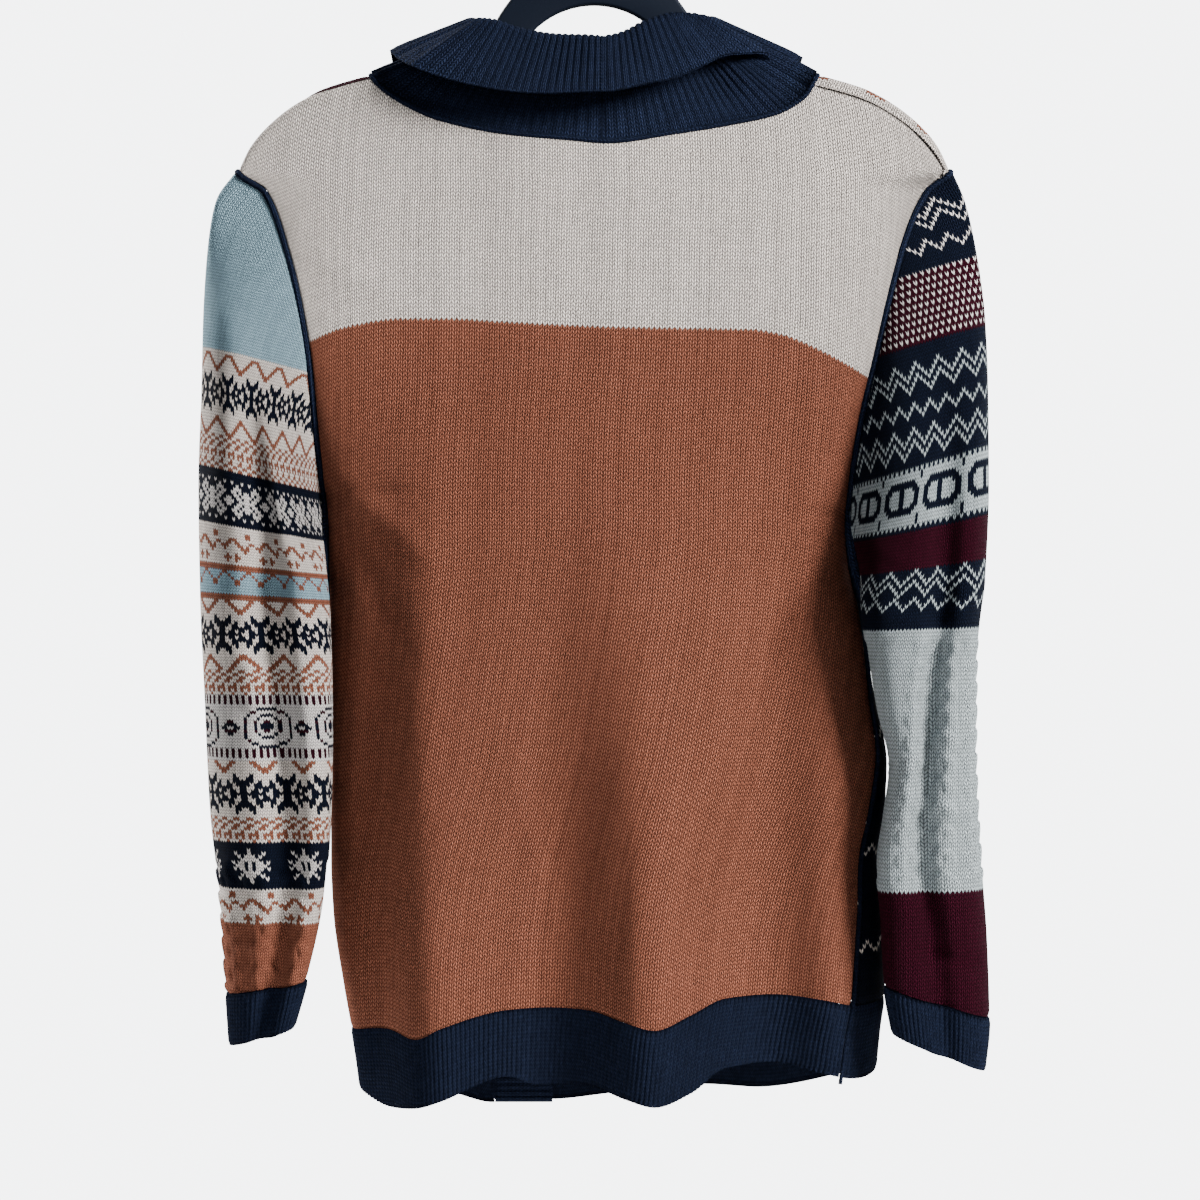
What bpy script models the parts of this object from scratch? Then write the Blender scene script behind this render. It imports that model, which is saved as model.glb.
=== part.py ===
"""A knitted shawl collar cardigan hanging on its hanger.

Metres, +Z up. The garment's front faces -Y and its wearer's left is +X. The origin is the inside top of the
hanger's hook, where the rail touches it. The tables are in millimetres, and a depth is a distance below
that point.
"""

import functools
import math

import bmesh
import bpy
import numpy as np

MM = 0.001

# --- driving sizes, millimetres ---
CLOTH = 3.0  # thickness of the knitted panels
RIB = 4.0  # thickness of the collar's rib
SEAM_GAP = 0.0035  # what a piece keeps from a side seam, as a share of the half girth
SLEEVE_GAP = 1.5  # between the body and the sleeve's first ring
RIM_GAP = 0.3  # between a panel and the rib below it
COLLAR_GAP = 1.2  # between the neck edge and the collar
SHOULDER_X = 231.0
SHOULDER_DEPTH = 207.0
NECK_X = 146.0
NECK_DEPTH = 145.0
UNDERARM_DEPTH = {1: 416.0, -1: 428.0}  # wearer's left, wearer's right
SHOULDER_BEND = 8.0  # radius of the fold over the hanger
SETTLE = 110.0  # how far below the shoulder the body has its full depth
ARMHOLE_HALF_DEPTH = 25.0
BODY_ROUNDNESS = 0.8  # power on the sine that gives a body section, 1 is an ellipse
SLEEVE_ROUNDNESS = 0.85
TUCK = {"body": 22.0, "sleeve": 24.0}  # how far the body's side edge lies forward, and the sleeve's inner line back
TUCK_FROM = 424.0
TUCK_GROWS = 50.0
SHOULDER_WRAP = 12.0  # how far the right front reaches over the shoulder to the back
WRAP_GAP = 2.1  # between the wrapped front and the back, more at the tip where the shoulder curves most
LEFT_WRAP = 5.0  # the same for the left front, beside the collar
WRAP_FROM = 122.0  # how far from the centre the wrap starts, and over what length it grows
WRAP_GROWS = 20.0
MITRE = 0.2  # keeps a panel off the plane where front and back meet over the shoulder
BACK_NECK_CENTRE_X = -5.0
BREAK_DEPTH = 440.0  # where the collar's roll ends and the buttoned band begins
FULL_ROLL = 3.0  # roll radius from which the strip is folded right over, and below it opens flat
BAND_SEAM_X = {1: 67.0, -1: 29.0}  # where each front ends and its band begins
OVERLAP_STEP = 9.0  # how far the right band stands in front of the left one
OVERLAP_FADE = (-70.0, 20.0)  # the x range over which the right front rises to that step
BUTTON_RADIUS = 11.0
BUTTON_THICKNESS = 4.0
BUTTON_LIFT = 0.5  # the shank's height, which keeps it off the curved band
BUTTON_DEPTHS = (470.0, 548.0, 626.0, 704.0, 782.0)
HANGER_THICKNESS = 5.5
ARCH_RADIUS = 55.0
ARCH_DEPTH = 155.5
HOOK_WIRE = 3.6
HOOK_INSIDE_RADIUS = 20.0
HOOK_TIP_DEGREES = -15.0

# --- outline of the body: depth, x of the wearer's left edge, x of the wearer's right edge ---
EDGE_COLUMNS = ("depth", "left", "right")
EDGES = np.array([
    (120, 231.0, -231.0),
    (207, 231.0, -231.0),
    (221, 213.0, -215.0),
    (253, 199.5, -200.0),
    (294, 188.5, -188.5),
    (333, 182.0, -179.5),
    (371, 178.8, -171.0),
    (416, 175.0, -164.6),
    (432, 173.5, -163.6),
    (461, 174.0, -166.5),
    (493, 173.5, -175.0),
    (550, 172.5, -184.5),
    (593, 172.5, -192.5),
    (622, 173.0, -191.0),
    (654, 173.0, -187.5),
    (690, 171.5, -190.0),
    (739, 164.5, -191.0),
    (768, 159.4, -187.5),
    (805, 154.2, -184.0),
    (830, 152.0, -182.0),
])

# --- half depth of the body behind and in front of the hanger's plane ---
DEPTH_COLUMNS = ("depth", "back", "front")
DEPTHS = np.array([
    (120, 12, 12),
    (207, 20, 20),
    (260, 25, 27),
    (320, 29, 33),
    (416, 34, 39),
    (550, 40, 45),
    (700, 46, 50),
    (830, 50, 54),
])

# --- top line: the shoulder carried on towards the neck, and the back neck ---
RIDGE_COLUMNS = ("x from the centre", "depth")
RIDGE = np.array([
    (0, 112), (80, 128), (146, 145), (176, 154), (196, 165), (212, 178), (223, 191), (231, 207),
])
NECK_COLUMNS = ("x", "depth")
NECK = np.array([
    (-150, 140), (-146, 145), (-136, 161), (-117, 172), (-91, 178), (-51, 185), (-8, 191),
    (15, 189), (56, 185), (100, 175.5), (124, 164.5), (140, 153), (146, 145), (150, 139),
])

# --- lower edge of the body: x, depth of the rib's top, depth of the rib's foot ---
HEM_COLUMNS = ("x", "top", "foot")
BACK_HEM = np.array([
    (-192, 746, 790), (-174, 748, 795), (-148, 743, 790), (-116, 740, 783), (-85, 741, 785),
    (-62, 750, 799), (-39, 758, 806), (-20, 754, 802), (5, 748, 796), (34, 747, 796), (55, 748, 790), (97, 759, 805),
    (116, 767, 811), (133, 763, 813), (156, 766, 805),
])
FRONT_HEM = np.array([
    (-192, 746, 790), (-150, 756, 802), (-105, 764, 811), (-60, 761, 808), (-15, 769, 815), (29, 774, 820),
    (67, 774, 820), (100, 766, 812), (130, 768, 814), (156, 766, 805),
])

# --- vertical folds: where each runs, from what depth it grows, its height at the hem and its half width ---
FOLD_COLUMNS = ("x at 400", "x at 800", "from", "height", "width")
BACK_FOLDS = (
    (137, 142, 330, -11.0, 17),
    (110, 106, 300, 16.0, 26),
    (30, 20, 340, -14.0, 31),
    (-30, -34, 360, 17.0, 29),
    (-116, -110, 290, -17.0, 30),
    (-150, -156, 310, 10.0, 19),
)
FRONT_FOLDS = (
    (130, 120, 340, 8.0, 24),
    (96, 88, 420, -6.0, 20),
    (-40, -48, 360, -7.0, 26),
    (-88, -96, 330, 9.0, 26),
    (-135, -142, 380, -7.0, 20),
)

# --- side seams: how far each lies round the body from its outline, as a share of the half girth ---
SEAM_COLUMNS = ("depth", "left", "right")
SEAMS = np.array([
    (120, 0, 0), (428, 0, 0), (520, 0.02, 0.05), (625, 0.05, 0.115), (740, 0.08, 0.165), (830, 0.09, 0.19),
])

# --- sleeves: outer and inner line, half depth, and the long valley that faces the back ---
SLEEVE_COLUMNS = (
    "outer depth", "outer x", "inner depth", "inner x", "half depth", "valley at", "valley",
)
SLEEVE_ROWS = {
    1: np.array([
        (207, 231.0, 416, 176.6, 25, 0.45, 0),
        (228, 245.0, 422, 176.2, 33, 0.45, 1),
        (262, 251.0, 431, 175.8, 40, 0.45, 3),
        (305, 254.0, 444, 175.0, 44, 0.46, 6),
        (350, 255.0, 460, 172.6, 46, 0.48, 9),
        (411, 257.0, 486, 169.6, 47, 0.55, 12),
        (481, 256.0, 522, 168.0, 46, 0.58, 14),
        (551, 253.0, 570, 167.2, 44, 0.62, 14),
        (622, 249.6, 628, 168.4, 42, 0.67, 13),
        (678, 243.5, 680, 172.6, 39, 0.68, 11),
        (738, 239.4, 729, 183.0, 36, 0.60, 8),
        (774, 237.0, 761, 192.0, 34, 0.55, 6),
    ]),
    -1: np.array([
        (207, 231.0, 428, 166.6, 25, 0.36, 0),
        (228, 240.0, 434, 166.6, 33, 0.36, 1),
        (262, 248.0, 442, 167.0, 40, 0.36, 3),
        (305, 254.0, 454, 168.2, 44, 0.36, 7),
        (350, 256.0, 470, 170.2, 46, 0.36, 10),
        (411, 256.5, 493, 170.8, 47, 0.38, 13),
        (465, 254.5, 520, 174.6, 46, 0.40, 14),
        (523, 248.8, 556, 180.2, 44, 0.48, 14),
        (580, 248.3, 593, 188.0, 42, 0.58, 14),
        (622, 249.6, 625, 184.2, 41, 0.60, 12),
        (660, 252.0, 655, 180.2, 40, 0.60, 11),
        (706, 255.4, 690, 183.2, 38, 0.55, 9),
        (757, 257.0, 735, 185.8, 36, 0.50, 7),
        (791, 254.0, 765, 191.0, 34, 0.45, 6),
    ]),
}
CUFF_START = {1: 0.915, -1: 0.923}  # share of the sleeve's rings where the cuff begins
SLEEVE_SETTLE = 0.3  # share of the rings over which the armhole's shape fades out
VALLEY_WIDTH = 0.13
TUBE_COLUMNS = 26
PANEL_COLUMNS = {"back": 26, "front": 10}

# --- collar: along 0 is the centre back, 1 the shoulder, 2 the break, 3 the hem. The roll's centre and the free
# edge are given from the seam, x outwards from the centre line ---
COLLAR_COLUMNS = ("along", "roll x", "roll y", "roll z", "edge x", "edge y", "edge z", "roll radius")
COLLAR = {
    1: np.array([
        (0.00, 0, 5, 60, 0, 21, 28, 5.0),
        (0.37, -22, 4, 57, -16, 20, 22, 5.0),
        (0.69, -36, 2, 56, -18, 22, 18, 5.0),
        (0.88, -50, -2, 46, -12, 18, 16, 5.0),
        (1.00, -64, -8, 30, -12, 0, 14, 5.0),
        (1.15, -58, -14, 12, -4, -18, 8, 5.0),
        (1.40, -46, -10, 4, 10, -15, 0, 4.8),
        (1.70, -34, -7, 2, 8, -14, 0, 4.2),
        (1.87, -25, -4, 0, -12, -14, 0, 3.0),
        (2.00, -19, -1, 0, -36, -3, 0, 1.0),
        (2.15, -19, 0, 0, -38, 0, 0, 0.0),
        (3.00, -19, 0, 0, -38, 0, 0, 0.0),
    ]),
    -1: np.array([
        (0.00, 0, 5, 60, 0, 21, 28, 5.0),
        (0.20, -12, 4, 61, -9, 22, 28, 5.0),
        (0.37, -22, 4, 64, -14, 22, 28, 5.0),
        (0.52, -30, 3, 65, -14, 21, 32, 5.0),
        (0.66, -38, 1, 62, -11, 14, 39, 5.0),
        (0.80, -46, 3, 55, -8, 4, 37, 5.0),
        (0.88, -52, -2, 47, -6, -8, 22, 5.0),
        (1.00, -64, -10, 34, -8, -16, 12, 5.0),
        (1.15, -58, -14, 14, -4, -20, 8, 5.0),
        (1.40, -46, -10, 4, 10, -15, 0, 4.8),
        (1.70, -34, -7, 2, 8, -14, 0, 4.2),
        (1.87, -25, -4, 0, -12, -14, 0, 3.0),
        (2.00, -19, -1, 0, -36, -3, 0, 1.0),
        (2.15, -19, 0, 0, -38, 0, 0, 0.0),
        (3.00, -19, 0, 0, -38, 0, 0, 0.0),
    ]),
}

# --- hanger: top edge and lower edge of one arm ---
ARM_COLUMNS = ("x", "top", "foot")
ARM = np.array([
    (60, 104, 139), (67, 116, 148), (85, 143, 162), (115, 156, 174), (146, 160, 179),
    (176, 164, 183), (196, 173, 192), (212, 186, 202), (220, 197, 209),
])
HANGER_CROWN = ((0, 58), (14, 59), (30, 69), (46, 86))  # x, depth

COLORS = {
    "cream": (0.74, 0.66, 0.58), "rust": (0.30, 0.10, 0.045), "navy": (0.018, 0.024, 0.045),
    "burgundy": (0.07, 0.012, 0.025), "light_blue": (0.40, 0.55, 0.62), "ice_grey": (0.58, 0.62, 0.62),
    "hanger_black": (0.012, 0.014, 0.02), "steel": (0.55, 0.55, 0.56),
}


def curve(xs, ys, x):
    """Monotone cubic through the rows of a table, straight beyond its ends."""
    xs, ys, x = np.asarray(xs, float), np.asarray(ys, float), np.asarray(x, float)
    step = np.diff(xs)
    slope = np.diff(ys) / step
    same = slope[:-1] * slope[1:] > 0
    mean = np.where(same, 2 * slope[:-1] * slope[1:] / np.where(same, slope[:-1] + slope[1:], 1), 0)
    tangent = np.concatenate([slope[:1], mean, slope[-1:]])
    i = np.clip(np.searchsorted(xs, x) - 1, 0, len(xs) - 2)
    t = np.clip((x - xs[i]) / step[i], 0, 1)
    a, b = ys[i], ys[i + 1]
    value = (
        (2 * t**3 - 3 * t**2 + 1) * a + (t**3 - 2 * t**2 + t) * step[i] * tangent[i]
        + (3 * t**2 - 2 * t**3) * b + (t**3 - t**2) * step[i] * tangent[i + 1]
    )
    beyond = np.minimum(x - xs[0], 0) * slope[0] + np.maximum(x - xs[-1], 0) * slope[-1]
    return value + beyond


def smooth(x):
    x = np.clip(x, 0, 1)
    return x * x * (3 - 2 * x)


def unit(v):
    return v / np.maximum(np.linalg.norm(v, axis=-1, keepdims=True), 1e-9)


def point(x, y, z):
    return np.stack(np.broadcast_arrays(x, y, z), axis=-1)


# --- the body ---


def body_edges(depth):
    return curve(EDGES[:, 0], EDGES[:, 1], depth), curve(EDGES[:, 0], EDGES[:, 2], depth)


def ridge_depth(x):
    return curve(RIDGE[:, 0], RIDGE[:, 1], np.abs(x))


def armhole_depth(side, depth):
    """Half depth of the armhole: a sine arch between the shoulder and the underarm."""
    share = np.clip((depth - SHOULDER_DEPTH) / (UNDERARM_DEPTH[side] - SHOULDER_DEPTH), 0, 1)
    return ARMHOLE_HALF_DEPTH * np.sin(math.pi * share) ** 0.6


def folds(table, x, depth):
    total = 0.0
    for x_400, x_800, start, height, width in table:
        centre = x_400 + (x_800 - x_400) * (depth - 400) / 400
        grown = smooth((depth - start) / (800 - start))
        total = total + height * grown * np.exp(-(((x - centre) / width) ** 2))
    return total


def body(loop, depth):
    """A point on the body: loop 0 to 1 runs from the left outline over the back to the right outline, 1 to 2
    back over the front. Each section is a flattened oval, and at the shoulder it closes over the hanger."""
    loop = np.mod(loop, 2)
    left, right = body_edges(depth)
    across = (1 - np.cos(math.pi * loop)) / 2
    x = left + (right - left) * across
    behind = loop <= 1
    arch = np.abs(np.sin(math.pi * loop)) ** BODY_ROUNDNESS
    back = curve(DEPTHS[:, 0], DEPTHS[:, 1], depth)
    front = curve(DEPTHS[:, 0], DEPTHS[:, 2], depth)
    edge = armhole_depth(1, depth) * (1 - across) + armhole_depth(-1, depth) * across
    fade = arch**0.5
    step = OVERLAP_STEP * smooth((x - OVERLAP_FADE[0]) / (OVERLAP_FADE[1] - OVERLAP_FADE[0]))
    full = np.where(
        behind,
        edge + (back - edge) * arch + fade * folds(BACK_FOLDS, x, depth),
        edge + (front - edge) * arch + fade * folds(FRONT_FOLDS, x, depth),
    )
    drop = np.maximum(depth - ridge_depth(x), 0)
    bend = np.minimum(drop, SHOULDER_BEND)
    settled = smooth(drop / SETTLE)
    y = np.sqrt(2 * SHOULDER_BEND * bend - bend**2) * (1 - settled) + full * settled
    tuck = TUCK["body"] * (1 - arch) * smooth((depth - TUCK_FROM) / TUCK_GROWS)
    return point(x, np.where(behind, y, -y) - tuck, -depth), step


def body_point(loop, depth, lifted=False):
    place, step = body(loop, depth)
    if lifted:
        place = place - point(0, step, 0)
    return place


def fall(arc):
    """How far below the ridge a point lies that is arc along the cloth from it."""
    arc = np.abs(arc)
    quarter = SHOULDER_BEND * math.pi / 2
    round_part = SHOULDER_BEND * (1 - np.cos(np.minimum(arc, quarter) / SHOULDER_BEND))
    return round_part + np.maximum(arc - quarter, 0)


def arc_of(drop):
    round_part = SHOULDER_BEND * np.arccos(1 - np.clip(drop, 0, SHOULDER_BEND) / SHOULDER_BEND)
    return round_part + np.maximum(drop - SHOULDER_BEND, 0)


def seam_loop(side, depth):
    """Loop value of a side seam: from the underarm on the outline it swings round to the body's right."""
    if side == 1:
        return -curve(SEAMS[:, 0], SEAMS[:, 1], depth)
    return 1 - curve(SEAMS[:, 0], SEAMS[:, 2], depth)


def hem_depth(loop, depth, column):
    """Depth of the rib's top (1) or foot (2) at a place round the body."""
    x = body(loop, depth)[0][..., 0]
    back, front = (curve(table[:, 0], table[:, column], x) for table in (BACK_HEM, FRONT_HEM))
    return np.where(np.mod(loop, 2) <= 1, back, front)


def front_edge_x(side, depth):
    """The neckline runs straight from the shoulder to the break, then the band hangs straight."""
    fallen = np.clip((depth - NECK_DEPTH) / (BREAK_DEPTH - NECK_DEPTH), 0, 1)
    share = 0.25 * smooth(fallen) + 0.75 * fallen
    return side * NECK_X + (BAND_SEAM_X[side] - side * NECK_X) * share


def front_edge_loop(side, depth):
    left, right = body_edges(depth)
    across = np.clip((front_edge_x(side, depth) - left) / (right - left), 0, 1)
    return 2 - np.arccos(1 - 2 * across) / math.pi


def back_loop(u, depth):
    """Loop value of a column of the back, with more columns where the cloth faces the camera side."""
    start, end = seam_loop(1, depth) + SEAM_GAP, seam_loop(-1, depth) - SEAM_GAP
    return start + (end - start) * (u + 0.08 * np.sin(2 * math.pi * u))


def front_loop(side, u, depth):
    """Loop value of a column of a front, from its side seam to its band."""
    if side == 1:
        start = 2 + seam_loop(1, depth) - SEAM_GAP
    else:
        start = seam_loop(-1, depth) + SEAM_GAP
    return start + (front_edge_loop(side, depth) - start) * (u + 0.04 * np.sin(2 * math.pi * u))


def rows(v):
    """Rows crowd towards the top, where the cloth bends over the shoulder."""
    return v * np.abs(v) ** 0.55


def panel(loop_at, top_arc, lifted=False):
    """A panel from its top edge to its rib: v 0 is the top edge, found from the ridge above each column.
    Its rows keep to the same arcs as its neighbour's, but for the first few below the top edge."""

    def place(u, v):
        depth = np.full(np.broadcast(u, v).shape, NECK_DEPTH)
        for _ in range(12):
            depth = ridge_depth(body(loop_at(u, depth), depth)[0][..., 0])
        ridge = depth
        top = top_arc(body(loop_at(u, ridge), ridge)[0][..., 0])
        low = ridge + 600
        for _ in range(6):
            low = hem_depth(loop_at(u, low), low, 1) - RIM_GAP
        share = rows(v)
        arc = arc_of(low - ridge) * share + top * (1 - share) ** 6
        depth = ridge + fall(arc)
        where = body_point(loop_at(u, depth), depth, lifted)
        where[..., 1] *= np.where(arc < 0, -1, 1)
        return where

    return place


def hem(loop_at, lifted=False):
    """A rib from the panel down to its foot."""

    def place(u, v):
        top = np.full(np.broadcast(u, v).shape, 750.0)
        foot = top + 50
        for _ in range(6):
            top = hem_depth(loop_at(u, top), top, 1)
            foot = hem_depth(loop_at(u, foot), foot, 2)
        depth = top + (foot - top) * v
        return body_point(loop_at(u, depth), depth, lifted)

    return place


def back_top(x):
    """Arc from the ridge to the back's top edge: the neck curve, and the wrapped seam on the right."""
    neck = arc_of(curve(NECK[:, 0], NECK[:, 1], np.clip(x, -NECK_X, NECK_X)) - ridge_depth(x))
    neck = np.where(np.abs(x) < NECK_X, neck, 0)
    tip = smooth((-x - 200) / 25)
    wrap = (SHOULDER_WRAP + WRAP_GAP * (1 + tip)) * smooth((-x - WRAP_FROM) / WRAP_GROWS)
    left_wrap = LEFT_WRAP + WRAP_GAP
    return np.maximum(np.maximum(neck, wrap), MITRE + (left_wrap - MITRE) * left_sliver(x))


def left_sliver(x):
    """1 where a sliver of the left front shows behind the shoulder beside the collar, 0 elsewhere."""
    return smooth((x - 134) / 12) * (1 - smooth((x - 168) / 30))


def left_front_top(x):
    return MITRE - (LEFT_WRAP + MITRE) * left_sliver(x)


def right_front_top(x):
    return -SHOULDER_WRAP * smooth((-x - WRAP_FROM) / WRAP_GROWS)


# --- the sleeves ---


def sleeve(side):
    """Rings from the armhole to the cuff, each an oval across its outer and inner points, the first one the
    armhole itself."""
    table = SLEEVE_ROWS[side]
    stations = np.linspace(0, 1, len(table))

    def ring(around, k):
        outer_depth, outer_x, inner_depth, inner_x, half, valley_at, valley = (
            curve(stations, column, k) for column in table.T
        )
        angle = 2 * math.pi * around
        share = (1 - np.cos(angle)) / 2
        arch = np.abs(np.sin(angle)) ** SLEEVE_ROUNDNESS
        trough = valley * np.exp(-(((share - valley_at) / VALLEY_WIDTH) ** 2))
        facing = np.where(np.mod(around, 1) <= 0.5, 1, -1)
        depth = outer_depth + (inner_depth - outer_depth) * share
        tuck = TUCK["sleeve"] * share**3 * smooth((depth - TUCK_FROM) / TUCK_GROWS)
        return point(
            side * (outer_x + (inner_x - outer_x) * share),
            facing * (half * arch - trough * np.where(facing > 0, 1, 0.8)) + tuck,
            -depth,
        )

    def armhole(around):
        share = (1 - np.cos(2 * math.pi * around)) / 2
        depth = SHOULDER_DEPTH + (UNDERARM_DEPTH[side] - SHOULDER_DEPTH) * share
        behind = np.mod(around, 1) <= 0.5
        if side == 1:
            loop = np.where(behind, SEAM_GAP, 2 - SEAM_GAP)
        else:
            loop = np.where(behind, 1 - SEAM_GAP, 1 + SEAM_GAP)
        edge = body_point(loop, depth)
        edge[..., 1] = np.where(np.abs(np.mod(around + 0.25, 0.5) - 0.25) < 1e-6, 0, edge[..., 1])
        return edge + point(side * SLEEVE_GAP, 0, 0)

    def place(u, v):
        shift = armhole(u) - ring(u, 0 * v)
        return ring(u, v) + shift * (1 - smooth(v / SLEEVE_SETTLE))[..., None]

    return place


# --- the collar and bands ---


def collar(side):
    """One strip from the centre back to the hem: a stand, a roll over a round fold, and the fall outside it."""

    def seam(along):
        reach = side * NECK_X - BACK_NECK_CENTRE_X
        back_x = BACK_NECK_CENTRE_X + side * RIM_GAP * 1.15 + reach * np.clip(along, 0, 1)
        neck_depth = curve(NECK[:, 0], NECK[:, 1], back_x)
        back = body_point(np.arccos(back_x / SHOULDER_X) / math.pi, neck_depth)
        first = NECK_DEPTH + (BREAK_DEPTH - NECK_DEPTH) * np.clip(along - 1, 0, 1)
        foot = hem_depth(front_edge_loop(side, first), first, 2)
        depth = first + (foot - BREAK_DEPTH) * np.clip(along - 2, 0, 1)
        front = body_point(front_edge_loop(side, depth), depth, side == -1)
        turn = smooth((along - 0.5) / 0.8)
        clear = point(-side * turn, 0, 1 - turn)
        clear = clear + point(-side * 0.7, 0, 0.7) * (4 * turn * (1 - turn))[..., None]
        behind = (along < 1)[..., None]
        inward = point(0, np.where(along < 1, -CLOTH / 2, CLOTH / 2), 0)
        return np.where(behind, back, front) + inward + clear * COLLAR_GAP

    def place(across, along):
        table = COLLAR[side]
        columns = [curve(table[:, 0], column, along) for column in table.T[1:]]
        roll_x, roll_y, roll_z, edge_x, edge_y, edge_z, radius = columns
        start = seam(along)
        roll = start + point(side * roll_x, roll_y, roll_z)
        edge = start + point(side * edge_x, edge_y, edge_z)
        up = unit(roll - (start + edge) / 2)
        out = edge - start
        out = unit(out - up * np.sum(out * up, axis=-1, keepdims=True))
        radius = radius[..., None]
        first, last = roll - out * radius, roll + out * radius
        a = np.clip(across / 0.38, -1, 1)[..., None]
        b = np.clip((across - 0.38) / 0.24, 0, 1)[..., None]
        c = np.clip((across - 0.62) / 0.38, 0, 2)[..., None]
        turned = -out * np.cos(math.pi * b) * radius + up * np.sin(math.pi * b) * radius
        rolled = np.where(a < 1, start + (first - start) * a, roll + turned)
        rolled = np.where(c > 0, last + (edge - last) * c, rolled)
        flat = start + (edge - start) * across[..., None]
        share = smooth(radius / FULL_ROLL)
        return flat * (1 - share) + rolled * share

    return place


# --- making solids ---


def material(name, roughness=0.9, metallic=0.0):
    made = bpy.data.materials.get(name) or bpy.data.materials.new(name)
    made.use_nodes = True
    shader = made.node_tree.nodes["Principled BSDF"]
    shader.inputs["Base Color"].default_value = (*COLORS[name], 1)
    shader.inputs["Roughness"].default_value = roughness
    shader.inputs["Metallic"].default_value = metallic
    return made


def add(name, mesh, look):
    mesh.materials.append(look)
    made = bpy.data.objects.new(name, mesh)
    parts.objects.link(made)
    return made


def surface_normals(place, u, v):
    step = 1e-4
    across = place(u + step, v) - place(u - step, v)
    along = place(u, v + step) - place(u, v - step)
    return unit(np.cross(across, along))


def grid_faces(width, height, closed, offset):
    across = np.arange(width if closed else width - 1)
    i, j = (index.ravel() for index in np.meshgrid(across, np.arange(height - 1), indexing="ij"))
    k = (i + 1) % width
    return np.stack([i * height + j, k * height + j, k * height + j + 1, i * height + j + 1], axis=1) + offset


def rim_faces(line, other):
    return np.stack([line[:-1], line[1:], other[1:], other[:-1]], axis=1)


def wall(name, place, columns, row_values, outside, inside, look, closed=False, upright_start=False):
    """A solid between two offsets of one surface, along its own normals. An upright start keeps the first
    row's end face in the armhole's plane, so that it faces the body squarely."""
    count = columns if closed else columns + 1
    u, v = np.meshgrid(np.arange(count) / columns, row_values, indexing="ij")
    middle, normal = place(u, v), surface_normals(place, u, v)
    if upright_start:
        normal[:, 0, 0] = 0
        normal = unit(normal)
    height = len(row_values)
    size = count * height
    sides = (middle + normal * outside, middle - normal * inside)
    vertices = np.concatenate([side.reshape(-1, 3) for side in sides])
    index = np.arange(size).reshape(count, height)
    faces = [grid_faces(count, height, closed, 0), grid_faces(count, height, closed, size)[:, ::-1]]
    ends = [index[:, 0], index[::-1, -1]]
    if closed:
        ends = [np.append(end, end[0]) for end in ends]
    else:
        ends += [index[0, ::-1], index[-1, :]]
    faces += [rim_faces(end, end + size)[:, ::-1] for end in ends]
    mesh = bpy.data.meshes.new(name)
    mesh.from_pydata((vertices * MM).tolist(), [], np.concatenate(faces).tolist())
    shape = bmesh.new()
    shape.from_mesh(mesh)
    bmesh.ops.triangulate(shape, faces=shape.faces)
    if shape.calc_volume(signed=True) < 0:
        bmesh.ops.reverse_faces(shape, faces=shape.faces)
    shape.to_mesh(mesh)
    shape.free()
    mesh.shade_smooth()
    return add(name, mesh, look)


def inner_side(place):
    """1 where the surface's own normal points out of the garment, else -1."""
    u, v = np.array([[0.25]]), np.array([[0.6]])
    return 1 if surface_normals(place, u, v)[0, 0, 1] * place(u, v)[0, 0, 1] > 0 else -1


def cloth(name, place, columns, row_values, look, **options):
    outside, inside = (0, CLOTH) if inner_side(place) > 0 else (CLOTH, 0)
    return wall(name, place, columns, row_values, outside, inside, look, **options)


# --- hanger, hook and buttons ---


def flat_outline(name, outline, thickness, y, look):
    shape = bpy.data.curves.new(name, "CURVE")
    shape.dimensions = "2D"
    shape.fill_mode = "BOTH"
    shape.extrude = thickness / 2 * MM
    spline = shape.splines.new("POLY")
    spline.points.add(len(outline) - 1)
    for target, (x, depth) in zip(spline.points, outline):
        target.co = (x * MM, -depth * MM, 0, 1)
    spline.use_cyclic_u = True
    made = bpy.data.objects.new(name, shape)
    made.rotation_euler = (math.pi / 2, 0, 0)
    made.location = (0, y * MM, 0)
    shape.materials.append(look)
    parts.objects.link(made)
    return made


def make_hanger():
    top = list(HANGER_CROWN) + [(x, depth) for x, depth, _ in ARM]
    foot = [(x, depth) for x, _, depth in ARM[::-1]]
    arch = []
    for degrees in range(24, 91, 11):
        angle = math.radians(degrees)
        arch.append((ARCH_RADIUS * math.cos(angle), ARCH_DEPTH - ARCH_RADIUS * math.sin(angle)))
    half = top + foot + [corner for corner in arch if corner[0] > 0.5]
    mirrored = [(-x, depth) for x, depth in half[::-1] if x > 0]
    crown = [(0, ARCH_DEPTH - ARCH_RADIUS)]
    flat_outline("hanger", half + crown + mirrored, HANGER_THICKNESS, 0, material("hanger_black", 0.8))


def make_hook():
    radius = HOOK_INSIDE_RADIUS + HOOK_WIRE / 2
    centre = -HOOK_INSIDE_RADIUS
    turn = [math.radians(d) for d in np.linspace(-100, -360 + HOOK_TIP_DEGREES, 26)]
    hanger_top = -HANGER_CROWN[0][1] + RIM_GAP
    points = [(0.0, hanger_top), (0.0, hanger_top + 5), (0.0, centre - radius - 4)]
    points += [(radius * math.cos(a), centre + radius * math.sin(a)) for a in turn]
    shape = bpy.data.curves.new("hook", "CURVE")
    shape.dimensions = "3D"
    shape.bevel_depth = HOOK_WIRE / 2 * MM
    shape.bevel_resolution = 2
    shape.use_fill_caps = True
    spline = shape.splines.new("POLY")
    spline.points.add(len(points) - 1)
    for target, (x, z) in zip(spline.points, points):
        target.co = (x * MM, 0, z * MM, 1)
    made = bpy.data.objects.new("hook", shape)
    shape.materials.append(material("steel", 0.3, 1.0))
    parts.objects.link(made)


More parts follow.
